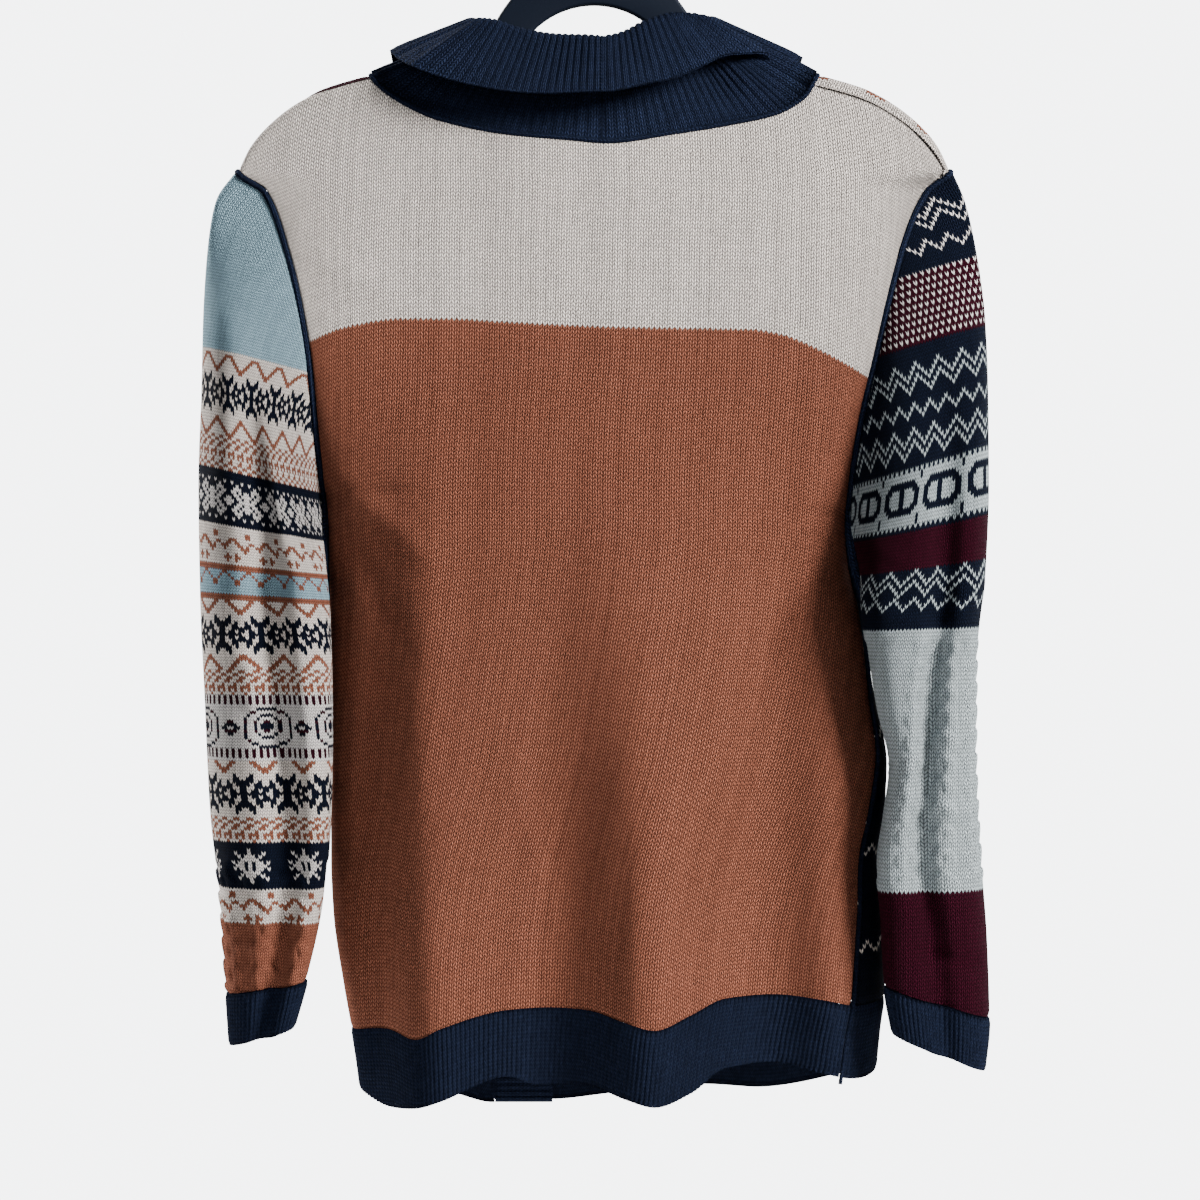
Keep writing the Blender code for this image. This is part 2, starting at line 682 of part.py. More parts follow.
def make_buttons():
    band = collar(-1)
    last = np.array(BUTTON_DEPTHS[-1])
    foot = float(hem_depth(front_edge_loop(-1, last), last, 2))
    lift = RIB / 2 + RIM_GAP + BUTTON_THICKNESS / 2 + BUTTON_LIFT
    for number, depth in enumerate(BUTTON_DEPTHS, 1):
        x, y, z = band(np.array(0.5), np.array(2 + (depth - BREAK_DEPTH) / (foot - BREAK_DEPTH)))
        bpy.ops.mesh.primitive_cylinder_add(
            vertices=24, radius=BUTTON_RADIUS * MM, depth=BUTTON_THICKNESS * MM,
            location=(x * MM, (y - lift) * MM, z * MM), rotation=(math.pi / 2, 0, 0),
        )
        button = bpy.context.object
        button.name = button.data.name = f"button_{number}"
        for holder in list(button.users_collection):
            holder.objects.unlink(button)
        parts.objects.link(button)
        button.data.materials.append(material("navy", 0.4))


def make_body():
    panel_rows = np.concatenate([[0, 0.02, 0.047, 0.062, 0.078, 0.1, 0.12, 0.143], np.linspace(0.175, 1, 14)])
    rib_rows = np.array([0, 0.5, 1])
    columns = PANEL_COLUMNS["back"]
    cloth("back", panel(back_loop, back_top), columns, panel_rows, material("rust"))
    cloth("hem_back", hem(back_loop), columns, rib_rows, material("navy"))
    columns = PANEL_COLUMNS["front"]
    for side, name, top, look in (
        (1, "left", left_front_top, "burgundy"), (-1, "right", right_front_top, "navy"),
    ):
        loop_at = functools.partial(front_loop, side)
        cloth(f"front_{name}", panel(loop_at, top, side == -1), columns, panel_rows, material(look))
        cloth(f"hem_{name}", hem(loop_at, side == -1), columns, rib_rows, material("navy"))


def make_sleeves():
    for side, name, look in ((1, "left", "light_blue"), (-1, "right", "ice_grey")):
        tube = sleeve(side)
        split = CUFF_START[side]
        upper = np.concatenate([[0, 0.03, 0.07], np.linspace(0.12, split - 0.002, 11)])
        cloth(f"sleeve_{name}", tube, TUBE_COLUMNS, upper, material(look), closed=True, upright_start=True)
        cloth(f"cuff_{name}", tube, TUBE_COLUMNS, np.linspace(split, 1, 3), material("navy"), closed=True)


def make_collar():
    across = np.array([0, 0.19, 0.38, 0.44, 0.5, 0.56, 0.62, 0.81, 1])
    along = np.concatenate([np.linspace(0, 1, 11), np.linspace(1.07, 2, 12), np.linspace(2.08, 3, 7)])
    for side, name in ((1, "left"), (-1, "right")):
        strip = collar(side)

        def place(u, v, strip=strip):
            return strip(v, np.interp(u, np.linspace(0, 1, len(along)), along))

        wall(f"collar_{name}", place, len(along) - 1, across, RIB / 2, RIB / 2, material("navy"))


for leftover in list(bpy.data.objects):
    bpy.data.objects.remove(leftover)
parts = bpy.data.collections.new("shawl_collar_cardigan")
bpy.context.scene.collection.children.link(parts)
make_body()
make_sleeves()
make_collar()
make_buttons()
make_hanger()
make_hook()
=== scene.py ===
"""The looks of a patchwork shawl collar cardigan on its hanger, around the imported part.

The frame's metres and axes are kept: +Z up, the garment's front faces -Y, the wearer's left is +X, and the
origin is the inside top of the hook. The form tables and functions are those of the part's own source, in
millimetres, worked out here on finer grids and covered in stitches.
"""

import functools
import math

import bmesh
import bpy
import numpy as np
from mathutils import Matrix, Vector
from mathutils.geometry import tessellate_polygon


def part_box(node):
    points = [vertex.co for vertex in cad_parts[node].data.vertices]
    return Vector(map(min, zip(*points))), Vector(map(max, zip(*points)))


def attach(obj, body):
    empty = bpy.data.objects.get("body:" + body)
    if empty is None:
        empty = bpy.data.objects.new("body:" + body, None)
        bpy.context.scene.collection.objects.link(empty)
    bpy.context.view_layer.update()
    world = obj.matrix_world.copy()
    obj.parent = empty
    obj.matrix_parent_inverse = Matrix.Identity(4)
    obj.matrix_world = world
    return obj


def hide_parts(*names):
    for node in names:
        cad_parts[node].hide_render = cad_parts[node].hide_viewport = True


bl_info = {
    "name": "Shawl collar cardigan",
    "version": (1, 0, 0),
    "blender": (4, 5, 0),
    "location": "View3D > Sidebar > Cardigan",
    "description": "Knitted cardigan with a shawl collar and banded sleeves, on a hanger",
    "category": "Object",
}

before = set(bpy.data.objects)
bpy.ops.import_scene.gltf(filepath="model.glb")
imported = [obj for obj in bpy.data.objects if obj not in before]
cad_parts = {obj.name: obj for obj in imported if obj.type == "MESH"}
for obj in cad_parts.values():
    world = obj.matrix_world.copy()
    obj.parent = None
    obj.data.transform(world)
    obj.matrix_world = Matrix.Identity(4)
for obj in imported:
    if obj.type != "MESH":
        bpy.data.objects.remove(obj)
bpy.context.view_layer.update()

MM = 0.001

# --- driving sizes, millimetres ---
CLOTH = 3.0  # thickness of the knitted panels
SEAM_GAP = 0.0035  # what a piece keeps from a side seam, as a share of the half girth
SLEEVE_GAP = 1.5  # between the body and the sleeve's first ring
RIM_GAP = 0.3  # between a panel and the rib below it
COLLAR_GAP = 1.2  # between the neck edge and the collar
SHOULDER_X = 231.0
SHOULDER_DEPTH = 207.0
NECK_X = 146.0
NECK_DEPTH = 145.0
UNDERARM_DEPTH = {1: 416.0, -1: 428.0}  # wearer's left, wearer's right
SHOULDER_BEND = 8.0  # radius of the fold over the hanger
SETTLE = 110.0  # how far below the shoulder the body has its full depth
ARMHOLE_HALF_DEPTH = 25.0
BODY_ROUNDNESS = 0.8  # power on the sine that gives a body section, 1 is an ellipse
SLEEVE_ROUNDNESS = 0.85
# how far the body's side edge lies forward, and the sleeve's inner line back
TUCK = {"body": 22.0, "sleeve": 24.0}
TUCK_FROM = 424.0
TUCK_GROWS = 50.0
SHOULDER_WRAP = 12.0  # how far the right front reaches over the shoulder to the back
WRAP_GAP = 2.1  # between the wrapped front and the back, more at the tip where the shoulder curves most
LEFT_WRAP = 5.0  # the same for the left front, beside the collar
WRAP_FROM = 122.0  # how far from the centre the wrap starts, and over what length it grows
WRAP_GROWS = 20.0
MITRE = 0.2  # keeps a panel off the plane where front and back meet over the shoulder
BACK_NECK_CENTRE_X = -5.0
BREAK_DEPTH = 440.0  # where the collar's roll ends and the buttoned band begins
ROLL_FROM, ROLL_TO = 0.38, 0.62  # shares of the strip between which it rolls over
FULL_ROLL = 3.0  # roll radius from which the strip is folded right over, and below it opens flat
BAND_SEAM_X = {1: 67.0, -1: 29.0}  # where each front ends and its band begins
OVERLAP_STEP = 9.0  # how far the right band stands in front of the left one
OVERLAP_FADE = (-70.0, 20.0)  # the x range over which the right front rises to that step
BUTTON_DEPTHS = (470.0, 548.0, 626.0, 704.0, 782.0)
HANGER_THICKNESS = 5.5
ARCH_RADIUS = 55.0
ARCH_DEPTH = 155.5
HOOK_WIRE = 3.6
HOOK_INSIDE_RADIUS = 20.0
HOOK_TIP_DEGREES = -15.0

# --- outline of the body: depth, x of the wearer's left edge, x of the wearer's right edge ---
# columns: depth, left, right
EDGES = np.array([
    (120, 231.0, -231.0),
    (207, 231.0, -231.0),
    (221, 213.0, -215.0),
    (253, 199.5, -200.0),
    (294, 188.5, -188.5),
    (333, 182.0, -179.5),
    (371, 178.8, -171.0),
    (416, 175.0, -164.6),
    (432, 173.5, -163.6),
    (461, 174.0, -166.5),
    (493, 173.5, -175.0),
    (550, 172.5, -184.5),
    (593, 172.5, -192.5),
    (622, 173.0, -191.0),
    (654, 173.0, -187.5),
    (690, 171.5, -190.0),
    (739, 164.5, -191.0),
    (768, 159.4, -187.5),
    (805, 154.2, -184.0),
    (830, 152.0, -182.0),
])

# --- half depth of the body behind and in front of the hanger's plane ---
# columns: depth, back, front
DEPTHS = np.array([
    (120, 12, 12),
    (207, 20, 20),
    (260, 25, 27),
    (320, 29, 33),
    (416, 34, 39),
    (550, 40, 45),
    (700, 46, 50),
    (830, 50, 54),
])

# --- top line: the shoulder carried on towards the neck, and the back neck ---
# columns: x from the centre, depth
RIDGE = np.array([
    (0, 112), (80, 128), (146, 145), (176, 154), (196, 165), (212, 178), (223, 191), (231, 207),
])
# columns: x, depth
NECK = np.array([
    (-150, 140), (-146, 145), (-136, 161), (-117, 172), (-91, 178), (-51, 185), (-8, 191),
    (15, 189), (56, 185), (100, 175.5), (124, 164.5), (140, 153), (146, 145), (150, 139),
])

# --- lower edge of the body: x, depth of the rib's top, depth of the rib's foot ---
# columns: x, top, foot
BACK_HEM = np.array([
    (-192, 746, 790), (-174, 748, 795), (-148, 743, 790), (-116, 740, 783), (-85, 741, 785),
    (-62, 750, 799), (-39, 758, 806), (-20, 754, 802), (5, 748, 796), (34, 747, 796), (55, 748, 790),
    (97, 759, 805), (116, 767, 811), (133, 763, 813), (156, 766, 805),
])
FRONT_HEM = np.array([
    (-192, 746, 790), (-150, 756, 802), (-105, 764, 811), (-60, 761, 808), (-15, 769, 815), (29, 774, 820),
    (67, 774, 820), (100, 766, 812), (130, 768, 814), (156, 766, 805),
])

# --- vertical folds: where each runs, from what depth it grows, its height at the hem and its half width ---
# columns: x at 400, x at 800, from, height, width
BACK_FOLDS = (
    (137, 142, 330, -11.0, 17),
    (110, 106, 300, 16.0, 26),
    (30, 20, 340, -14.0, 31),
    (-30, -34, 360, 17.0, 29),
    (-116, -110, 290, -17.0, 30),
    (-150, -156, 310, 10.0, 19),
)
FRONT_FOLDS = (
    (130, 120, 340, 8.0, 24),
    (96, 88, 420, -6.0, 20),
    (-40, -48, 360, -7.0, 26),
    (-88, -96, 330, 9.0, 26),
    (-135, -142, 380, -7.0, 20),
)

# --- side seams: how far each lies round the body from its outline, as a share of the half girth ---
# columns: depth, left, right
SEAMS = np.array([
    (120, 0, 0), (428, 0, 0), (520, 0.02, 0.05), (625, 0.05, 0.115), (740, 0.08, 0.165), (830, 0.09, 0.19),
])

# --- sleeves: outer and inner line, half depth, and the long valley that faces the back ---
# columns: outer depth, outer x, inner depth, inner x, half depth, valley at, valley
SLEEVE_ROWS = {
    1: np.array([
        (207, 231.0, 416, 176.6, 25, 0.45, 0),
        (228, 245.0, 422, 176.2, 33, 0.45, 1),
        (262, 251.0, 431, 175.8, 40, 0.45, 3),
        (305, 254.0, 444, 175.0, 44, 0.46, 6),
        (350, 255.0, 460, 172.6, 46, 0.48, 9),
        (411, 257.0, 486, 169.6, 47, 0.55, 12),
        (481, 256.0, 522, 168.0, 46, 0.58, 14),
        (551, 253.0, 570, 167.2, 44, 0.62, 14),
        (622, 249.6, 628, 168.4, 42, 0.67, 13),
        (678, 243.5, 680, 172.6, 39, 0.68, 11),
        (738, 239.4, 729, 183.0, 36, 0.60, 8),
        (774, 237.0, 761, 192.0, 34, 0.55, 6),
    ]),
    -1: np.array([
        (207, 231.0, 428, 166.6, 25, 0.36, 0),
        (228, 240.0, 434, 166.6, 33, 0.36, 1),
        (262, 248.0, 442, 167.0, 40, 0.36, 3),
        (305, 254.0, 454, 168.2, 44, 0.36, 7),
        (350, 256.0, 470, 170.2, 46, 0.36, 10),
        (411, 256.5, 493, 170.8, 47, 0.38, 13),
        (465, 254.5, 520, 174.6, 46, 0.40, 14),
        (523, 248.8, 556, 180.2, 44, 0.48, 14),
        (580, 248.3, 593, 188.0, 42, 0.58, 14),
        (622, 249.6, 625, 184.2, 41, 0.60, 12),
        (660, 252.0, 655, 180.2, 40, 0.60, 11),
        (706, 255.4, 690, 183.2, 38, 0.55, 9),
        (757, 257.0, 735, 185.8, 36, 0.50, 7),
        (791, 254.0, 765, 191.0, 34, 0.45, 6),
    ]),
}
CUFF_START = {1: 0.915, -1: 0.923}  # share of the sleeve's rings where the cuff begins
SLEEVE_SETTLE = 0.3  # share of the rings over which the armhole's shape fades out
VALLEY_WIDTH = 0.13

# --- collar: along 0 is the centre back, 1 the shoulder, 2 the break, 3 the hem ---
# The roll's centre and the free edge are given from the seam, x outwards from the centre line.
# columns: along, roll x, roll y, roll z, edge x, edge y, edge z, roll radius
COLLAR = {
    1: np.array([
        (0.00, 0, 5, 60, 0, 21, 28, 5.0),
        (0.37, -22, 4, 57, -16, 20, 22, 5.0),
        (0.69, -36, 2, 56, -18, 22, 18, 5.0),
        (0.88, -50, -2, 46, -12, 18, 16, 5.0),
        (1.00, -64, -8, 30, -12, 0, 14, 5.0),
        (1.15, -58, -14, 12, -4, -18, 8, 5.0),
        (1.40, -46, -10, 4, 10, -15, 0, 4.8),
        (1.70, -34, -7, 2, 8, -14, 0, 4.2),
        (1.87, -25, -4, 0, -12, -14, 0, 3.0),
        (2.00, -19, -1, 0, -36, -3, 0, 1.0),
        (2.15, -19, 0, 0, -38, 0, 0, 0.0),
        (3.00, -19, 0, 0, -38, 0, 0, 0.0),
    ]),
    -1: np.array([
        (0.00, 0, 5, 60, 0, 21, 28, 5.0),
        (0.20, -12, 4, 61, -9, 22, 28, 5.0),
        (0.37, -22, 4, 64, -14, 22, 28, 5.0),
        (0.52, -30, 3, 65, -14, 21, 32, 5.0),
        (0.66, -38, 1, 62, -11, 14, 39, 5.0),
        (0.80, -46, 3, 55, -8, 4, 37, 5.0),
        (0.88, -52, -2, 47, -6, -8, 22, 5.0),
        (1.00, -64, -10, 34, -8, -16, 12, 5.0),
        (1.15, -58, -14, 14, -4, -20, 8, 5.0),
        (1.40, -46, -10, 4, 10, -15, 0, 4.8),
        (1.70, -34, -7, 2, 8, -14, 0, 4.2),
        (1.87, -25, -4, 0, -12, -14, 0, 3.0),
        (2.00, -19, -1, 0, -36, -3, 0, 1.0),
        (2.15, -19, 0, 0, -38, 0, 0, 0.0),
        (3.00, -19, 0, 0, -38, 0, 0, 0.0),
    ]),
}

# --- hanger: top edge and lower edge of one arm ---
# columns: x, top, foot
ARM = np.array([
    (60, 104, 139), (67, 116, 148), (85, 143, 162), (115, 156, 174), (146, 160, 179),
    (176, 164, 183), (196, 173, 192), (212, 186, 202), (220, 197, 209),
])
HANGER_CROWN = ((0, 58), (14, 59), (30, 69), (46, 86))  # x, depth


def curve(xs, ys, x):
    """Monotone cubic through the rows of a table, straight beyond its ends."""
    xs, ys, x = np.asarray(xs, float), np.asarray(ys, float), np.asarray(x, float)
    step = np.diff(xs)
    slope = np.diff(ys) / step
    same = slope[:-1] * slope[1:] > 0
    mean = np.where(same, 2 * slope[:-1] * slope[1:] / np.where(same, slope[:-1] + slope[1:], 1), 0)
    tangent = np.concatenate([slope[:1], mean, slope[-1:]])
    i = np.clip(np.searchsorted(xs, x) - 1, 0, len(xs) - 2)
    t = np.clip((x - xs[i]) / step[i], 0, 1)
    a, b = ys[i], ys[i + 1]
    value = (
        (2 * t**3 - 3 * t**2 + 1) * a + (t**3 - 2 * t**2 + t) * step[i] * tangent[i]
        + (3 * t**2 - 2 * t**3) * b + (t**3 - t**2) * step[i] * tangent[i + 1]
    )
    beyond = np.minimum(x - xs[0], 0) * slope[0] + np.maximum(x - xs[-1], 0) * slope[-1]
    return value + beyond


def smooth(x):
    x = np.clip(x, 0, 1)
    return x * x * (3 - 2 * x)


def unit(v):
    return v / np.maximum(np.linalg.norm(v, axis=-1, keepdims=True), 1e-9)


def point(x, y, z):
    return np.stack(np.broadcast_arrays(x, y, z), axis=-1)


# --- the body ---


def body_edges(depth):
    return curve(EDGES[:, 0], EDGES[:, 1], depth), curve(EDGES[:, 0], EDGES[:, 2], depth)


def ridge_depth(x):
    return curve(RIDGE[:, 0], RIDGE[:, 1], np.abs(x))


def armhole_depth(side, depth):
    """Half depth of the armhole: a sine arch between the shoulder and the underarm."""
    share = np.clip((depth - SHOULDER_DEPTH) / (UNDERARM_DEPTH[side] - SHOULDER_DEPTH), 0, 1)
    return ARMHOLE_HALF_DEPTH * np.sin(math.pi * share) ** 0.6


def folds(table, x, depth):
    total = 0.0
    for x_400, x_800, start, height, width in table:
        centre = x_400 + (x_800 - x_400) * (depth - 400) / 400
        grown = smooth((depth - start) / (800 - start))
        total = total + height * grown * np.exp(-(((x - centre) / width) ** 2))
    return total


def body(loop, depth):
    """A point on the body: loop 0 to 1 runs from the left outline over the back to the right outline, 1 to 2
    back over the front. Each section is a flattened oval, and at the shoulder it closes over the hanger."""
    loop = np.mod(loop, 2)
    left, right = body_edges(depth)
    across = (1 - np.cos(math.pi * loop)) / 2
    x = left + (right - left) * across
    behind = loop <= 1
    arch = np.abs(np.sin(math.pi * loop)) ** BODY_ROUNDNESS
    back = curve(DEPTHS[:, 0], DEPTHS[:, 1], depth)
    front = curve(DEPTHS[:, 0], DEPTHS[:, 2], depth)
    edge = armhole_depth(1, depth) * (1 - across) + armhole_depth(-1, depth) * across
    fade = arch**0.5
    step = OVERLAP_STEP * smooth((x - OVERLAP_FADE[0]) / (OVERLAP_FADE[1] - OVERLAP_FADE[0]))
    full = np.where(
        behind,
        edge + (back - edge) * arch + fade * folds(BACK_FOLDS, x, depth),
        edge + (front - edge) * arch + fade * folds(FRONT_FOLDS, x, depth),
    )
    drop = np.maximum(depth - ridge_depth(x), 0)
    bend = np.minimum(drop, SHOULDER_BEND)
    settled = smooth(drop / SETTLE)
    y = np.sqrt(2 * SHOULDER_BEND * bend - bend**2) * (1 - settled) + full * settled
    tuck = TUCK["body"] * (1 - arch) * smooth((depth - TUCK_FROM) / TUCK_GROWS)
    return point(x, np.where(behind, y, -y) - tuck, -depth), step


def body_point(loop, depth, lifted=False):
    place, step = body(loop, depth)
    if lifted:
        place = place - point(0, step, 0)
    return place


def fall(arc):
    """How far below the ridge a point lies that is arc along the cloth from it."""
    arc = np.abs(arc)
    quarter = SHOULDER_BEND * math.pi / 2
    round_part = SHOULDER_BEND * (1 - np.cos(np.minimum(arc, quarter) / SHOULDER_BEND))
    return round_part + np.maximum(arc - quarter, 0)


def arc_of(drop):
    round_part = SHOULDER_BEND * np.arccos(1 - np.clip(drop, 0, SHOULDER_BEND) / SHOULDER_BEND)
    return round_part + np.maximum(drop - SHOULDER_BEND, 0)


def seam_loop(side, depth):
    """Loop value of a side seam: from the underarm on the outline it swings round to the body's right."""
    if side == 1:
        return -curve(SEAMS[:, 0], SEAMS[:, 1], depth)
    return 1 - curve(SEAMS[:, 0], SEAMS[:, 2], depth)


def hem_depth(loop, depth, column):
    """Depth of the rib's top (1) or foot (2) at a place round the body."""
    x = body(loop, depth)[0][..., 0]
    back, front = (curve(table[:, 0], table[:, column], x) for table in (BACK_HEM, FRONT_HEM))
    return np.where(np.mod(loop, 2) <= 1, back, front)


def front_edge_x(side, depth):
    """The neckline runs straight from the shoulder to the break, then the band hangs straight."""
    fallen = np.clip((depth - NECK_DEPTH) / (BREAK_DEPTH - NECK_DEPTH), 0, 1)
    share = 0.25 * smooth(fallen) + 0.75 * fallen
    return side * NECK_X + (BAND_SEAM_X[side] - side * NECK_X) * share


def front_edge_loop(side, depth):
    left, right = body_edges(depth)
    across = np.clip((front_edge_x(side, depth) - left) / (right - left), 0, 1)
    return 2 - np.arccos(1 - 2 * across) / math.pi


def back_loop(u, depth):
    """Loop value of a column of the back, with more columns where the cloth faces the camera side."""
    start, end = seam_loop(1, depth) + SEAM_GAP, seam_loop(-1, depth) - SEAM_GAP
    return start + (end - start) * (u + 0.08 * np.sin(2 * math.pi * u))


def front_loop(side, u, depth):
    """Loop value of a column of a front, from its side seam to its band."""
    if side == 1:
        start = 2 + seam_loop(1, depth) - SEAM_GAP
    else:
        start = seam_loop(-1, depth) + SEAM_GAP
    return start + (front_edge_loop(side, depth) - start) * (u + 0.04 * np.sin(2 * math.pi * u))


def rows(v):
    """Rows crowd towards the top, where the cloth bends over the shoulder."""
    return v * np.abs(v) ** 0.55


def panel(loop_at, top_arc, lifted=False):
    """A panel from its top edge to its rib: v 0 is the top edge, found from the ridge above each column.
    Its rows keep to the same arcs as its neighbour's, but for the first few below the top edge."""

    def place(u, v):
        depth = np.full(np.broadcast(u, v).shape, NECK_DEPTH)
        for _ in range(12):
            depth = ridge_depth(body(loop_at(u, depth), depth)[0][..., 0])
        ridge = depth
        top = top_arc(body(loop_at(u, ridge), ridge)[0][..., 0])
        low = ridge + 600
        for _ in range(6):
            low = hem_depth(loop_at(u, low), low, 1) - RIM_GAP
        share = rows(v)
        arc = arc_of(low - ridge) * share + top * (1 - share) ** 6
        depth = ridge + fall(arc)
        where = body_point(loop_at(u, depth), depth, lifted)
        where[..., 1] *= np.where(arc < 0, -1, 1)
        return where

    return place


def hem(loop_at, lifted=False):
    """A rib from the panel down to its foot."""

    def place(u, v):
        top = np.full(np.broadcast(u, v).shape, 750.0)
        foot = top + 50
        for _ in range(6):
            top = hem_depth(loop_at(u, top), top, 1)
            foot = hem_depth(loop_at(u, foot), foot, 2)
        depth = top + (foot - top) * v
        return body_point(loop_at(u, depth), depth, lifted)

    return place


def back_top(x):
    """Arc from the ridge to the back's top edge: the neck curve, and the wrapped seam on the right."""
    neck = arc_of(curve(NECK[:, 0], NECK[:, 1], np.clip(x, -NECK_X, NECK_X)) - ridge_depth(x))
    neck = np.where(np.abs(x) < NECK_X, neck, 0)
    tip = smooth((-x - 200) / 25)
    wrap = (SHOULDER_WRAP + WRAP_GAP * (1 + tip)) * smooth((-x - WRAP_FROM) / WRAP_GROWS)
    left_wrap = LEFT_WRAP + WRAP_GAP
    return np.maximum(np.maximum(neck, wrap), MITRE + (left_wrap - MITRE) * left_sliver(x))


def left_sliver(x):
    """1 where a sliver of the left front shows behind the shoulder beside the collar, 0 elsewhere."""
    return smooth((x - 134) / 12) * (1 - smooth((x - 168) / 30))


def left_front_top(x):
    return MITRE - (LEFT_WRAP + MITRE) * left_sliver(x)


def right_front_top(x):
    return -SHOULDER_WRAP * smooth((-x - WRAP_FROM) / WRAP_GROWS)


# --- the sleeves ---


def sleeve(side):
    """Rings from the armhole to the cuff, each an oval across its outer and inner points, the first one the
    armhole itself."""
    table = SLEEVE_ROWS[side]
    stations = np.linspace(0, 1, len(table))

    def ring(around, k):
        """Around 0 and 1 is the outer line, 0.5 the inner one; k 0 is the armhole's ring and 1 the last."""
        outer_depth, outer_x, inner_depth, inner_x, half, valley_at, valley = (
            curve(stations, column, k) for column in table.T
        )
        angle = 2 * math.pi * around
        share = (1 - np.cos(angle)) / 2
        arch = np.abs(np.sin(angle)) ** SLEEVE_ROUNDNESS
        trough = valley * np.exp(-(((share - valley_at) / VALLEY_WIDTH) ** 2))
        facing = np.where(np.mod(around, 1) <= 0.5, 1, -1)
        depth = outer_depth + (inner_depth - outer_depth) * share
        tuck = TUCK["sleeve"] * share**3 * smooth((depth - TUCK_FROM) / TUCK_GROWS)
        return point(
            side * (outer_x + (inner_x - outer_x) * share),
            facing * (half * arch - trough * np.where(facing > 0, 1, 0.8)) + tuck,
            -depth,
        )

    def armhole(around):
        share = (1 - np.cos(2 * math.pi * around)) / 2
        depth = SHOULDER_DEPTH + (UNDERARM_DEPTH[side] - SHOULDER_DEPTH) * share
        behind = np.mod(around, 1) <= 0.5
        if side == 1:
            loop = np.where(behind, SEAM_GAP, 2 - SEAM_GAP)
        else:
            loop = np.where(behind, 1 - SEAM_GAP, 1 + SEAM_GAP)
        edge = body_point(loop, depth)
        edge[..., 1] = np.where(np.abs(np.mod(around + 0.25, 0.5) - 0.25) < 1e-6, 0, edge[..., 1])
        return edge + point(side * SLEEVE_GAP, 0, 0)

    def place(u, v):
        shift = armhole(u) - ring(u, 0 * v)
        return ring(u, v) + shift * (1 - smooth(v / SLEEVE_SETTLE))[..., None]

    return place


# --- the collar and bands ---


def collar(side):
    """One strip from the centre back to the hem: a stand, a roll over a round fold, and the fall outside."""

    def seam(along):
        """The line along which the strip is sewn on, held clear of the body's edge."""
        reach = side * NECK_X - BACK_NECK_CENTRE_X
        back_x = BACK_NECK_CENTRE_X + side * RIM_GAP * 1.15 + reach * np.clip(along, 0, 1)
        neck_depth = curve(NECK[:, 0], NECK[:, 1], back_x)
        back = body_point(np.arccos(back_x / SHOULDER_X) / math.pi, neck_depth)
        first = NECK_DEPTH + (BREAK_DEPTH - NECK_DEPTH) * np.clip(along - 1, 0, 1)
        foot = hem_depth(front_edge_loop(side, first), first, 2)
        depth = first + (foot - BREAK_DEPTH) * np.clip(along - 2, 0, 1)
        front = body_point(front_edge_loop(side, depth), depth, side == -1)
        turn = smooth((along - 0.5) / 0.8)
        clear = point(-side * turn, 0, 1 - turn)
        clear = clear + point(-side * 0.7, 0, 0.7) * (4 * turn * (1 - turn))[..., None]
        behind = (along < 1)[..., None]
        inward = point(0, np.where(along < 1, -CLOTH / 2, CLOTH / 2), 0)
        return np.where(behind, back, front) + inward + clear * COLLAR_GAP

    def place(across, along):
        """across 0 is the seam and 1 the free edge, with the roll from ROLL_FROM to ROLL_TO."""
        table = COLLAR[side]
        columns = [curve(table[:, 0], column, along) for column in table.T[1:]]
        roll_x, roll_y, roll_z, edge_x, edge_y, edge_z, radius = columns
        start = seam(along)
        roll = start + point(side * roll_x, roll_y, roll_z)
        edge = start + point(side * edge_x, edge_y, edge_z)
        up = unit(roll - (start + edge) / 2)
        out = edge - start
        out = unit(out - up * np.sum(out * up, axis=-1, keepdims=True))
        radius = radius[..., None]
        first, last = roll - out * radius, roll + out * radius
        a = np.clip(across / ROLL_FROM, -1, 1)[..., None]
        b = np.clip((across - ROLL_FROM) / (ROLL_TO - ROLL_FROM), 0, 1)[..., None]
        c = np.clip((across - ROLL_TO) / (1 - ROLL_TO), 0, 2)[..., None]
        turned = -out * np.cos(math.pi * b) * radius + up * np.sin(math.pi * b) * radius
        rolled = np.where(a < 1, start + (first - start) * a, roll + turned)
        rolled = np.where(c > 0, last + (edge - last) * c, rolled)
        flat = start + (edge - start) * across[..., None]
        share = smooth(radius / FULL_ROLL)
        return flat * (1 - share) + rolled * share

    return place


# --- stitches and relief, millimetres ---
SIDES = {1: "left", -1: "right"}
WALE = 3.3  # stocking stitch of the body
COURSE = 2.5
BACK_COURSES = 176  # from the colour change to the rib
SHADE_CORD_FOOT = {1: 560, -1: 690}  # depth to which the dark cord of painted shade in the gap under each arm runs beside each sleeve
SIDE_SEAM_FOOT = 797
# radii of the round cords; the underarm one is not a seam but a dark cord of painted shade in the gap
# between body and sleeve
SEAM_AND_SHADE_RADII = {"armhole": 2.0, "underarm": 3.3, "side": 1.3, "neck": 1.8, "collar": 1.3}
ROPES = {"ropes": 3, "spacing": 27.0, "half": 5.2, "period": 15.0}  # the cable knit, see cable_relief
ROPE_FLOOR = 1.2  # how far the ground between the ropes lies back
BACK_GRID = (191, 281)  # columns and rows of the visible surface
FRONT_GRID = (101, 241)
WALL = 2.7  # from the form's surface to the inside of the cloth
SHOULDER_ROWS = 40  # rows of a front panel among which its shoulder line is looked for
SLEEVE_WALE = {1: 2.55, -1: 3.3}
SLEEVE_COURSE = {1: 2.0, -1: 2.6}
SLEEVE_COLUMNS = 150
SLEEVE_COURSES = 300
COLLAR_PITCH = 4.2
HEM_PITCH = 3.1
COURSE_TILT = {1: 0.24, -1: 0.30}
BANDS_START = {1: 322.0, -1: 214.0}  # depth of the first charted course on the outer line
CABLES = {1: (652.0, 742.0), -1: (510.0, 668.0)}  # where the cable knit starts and ends
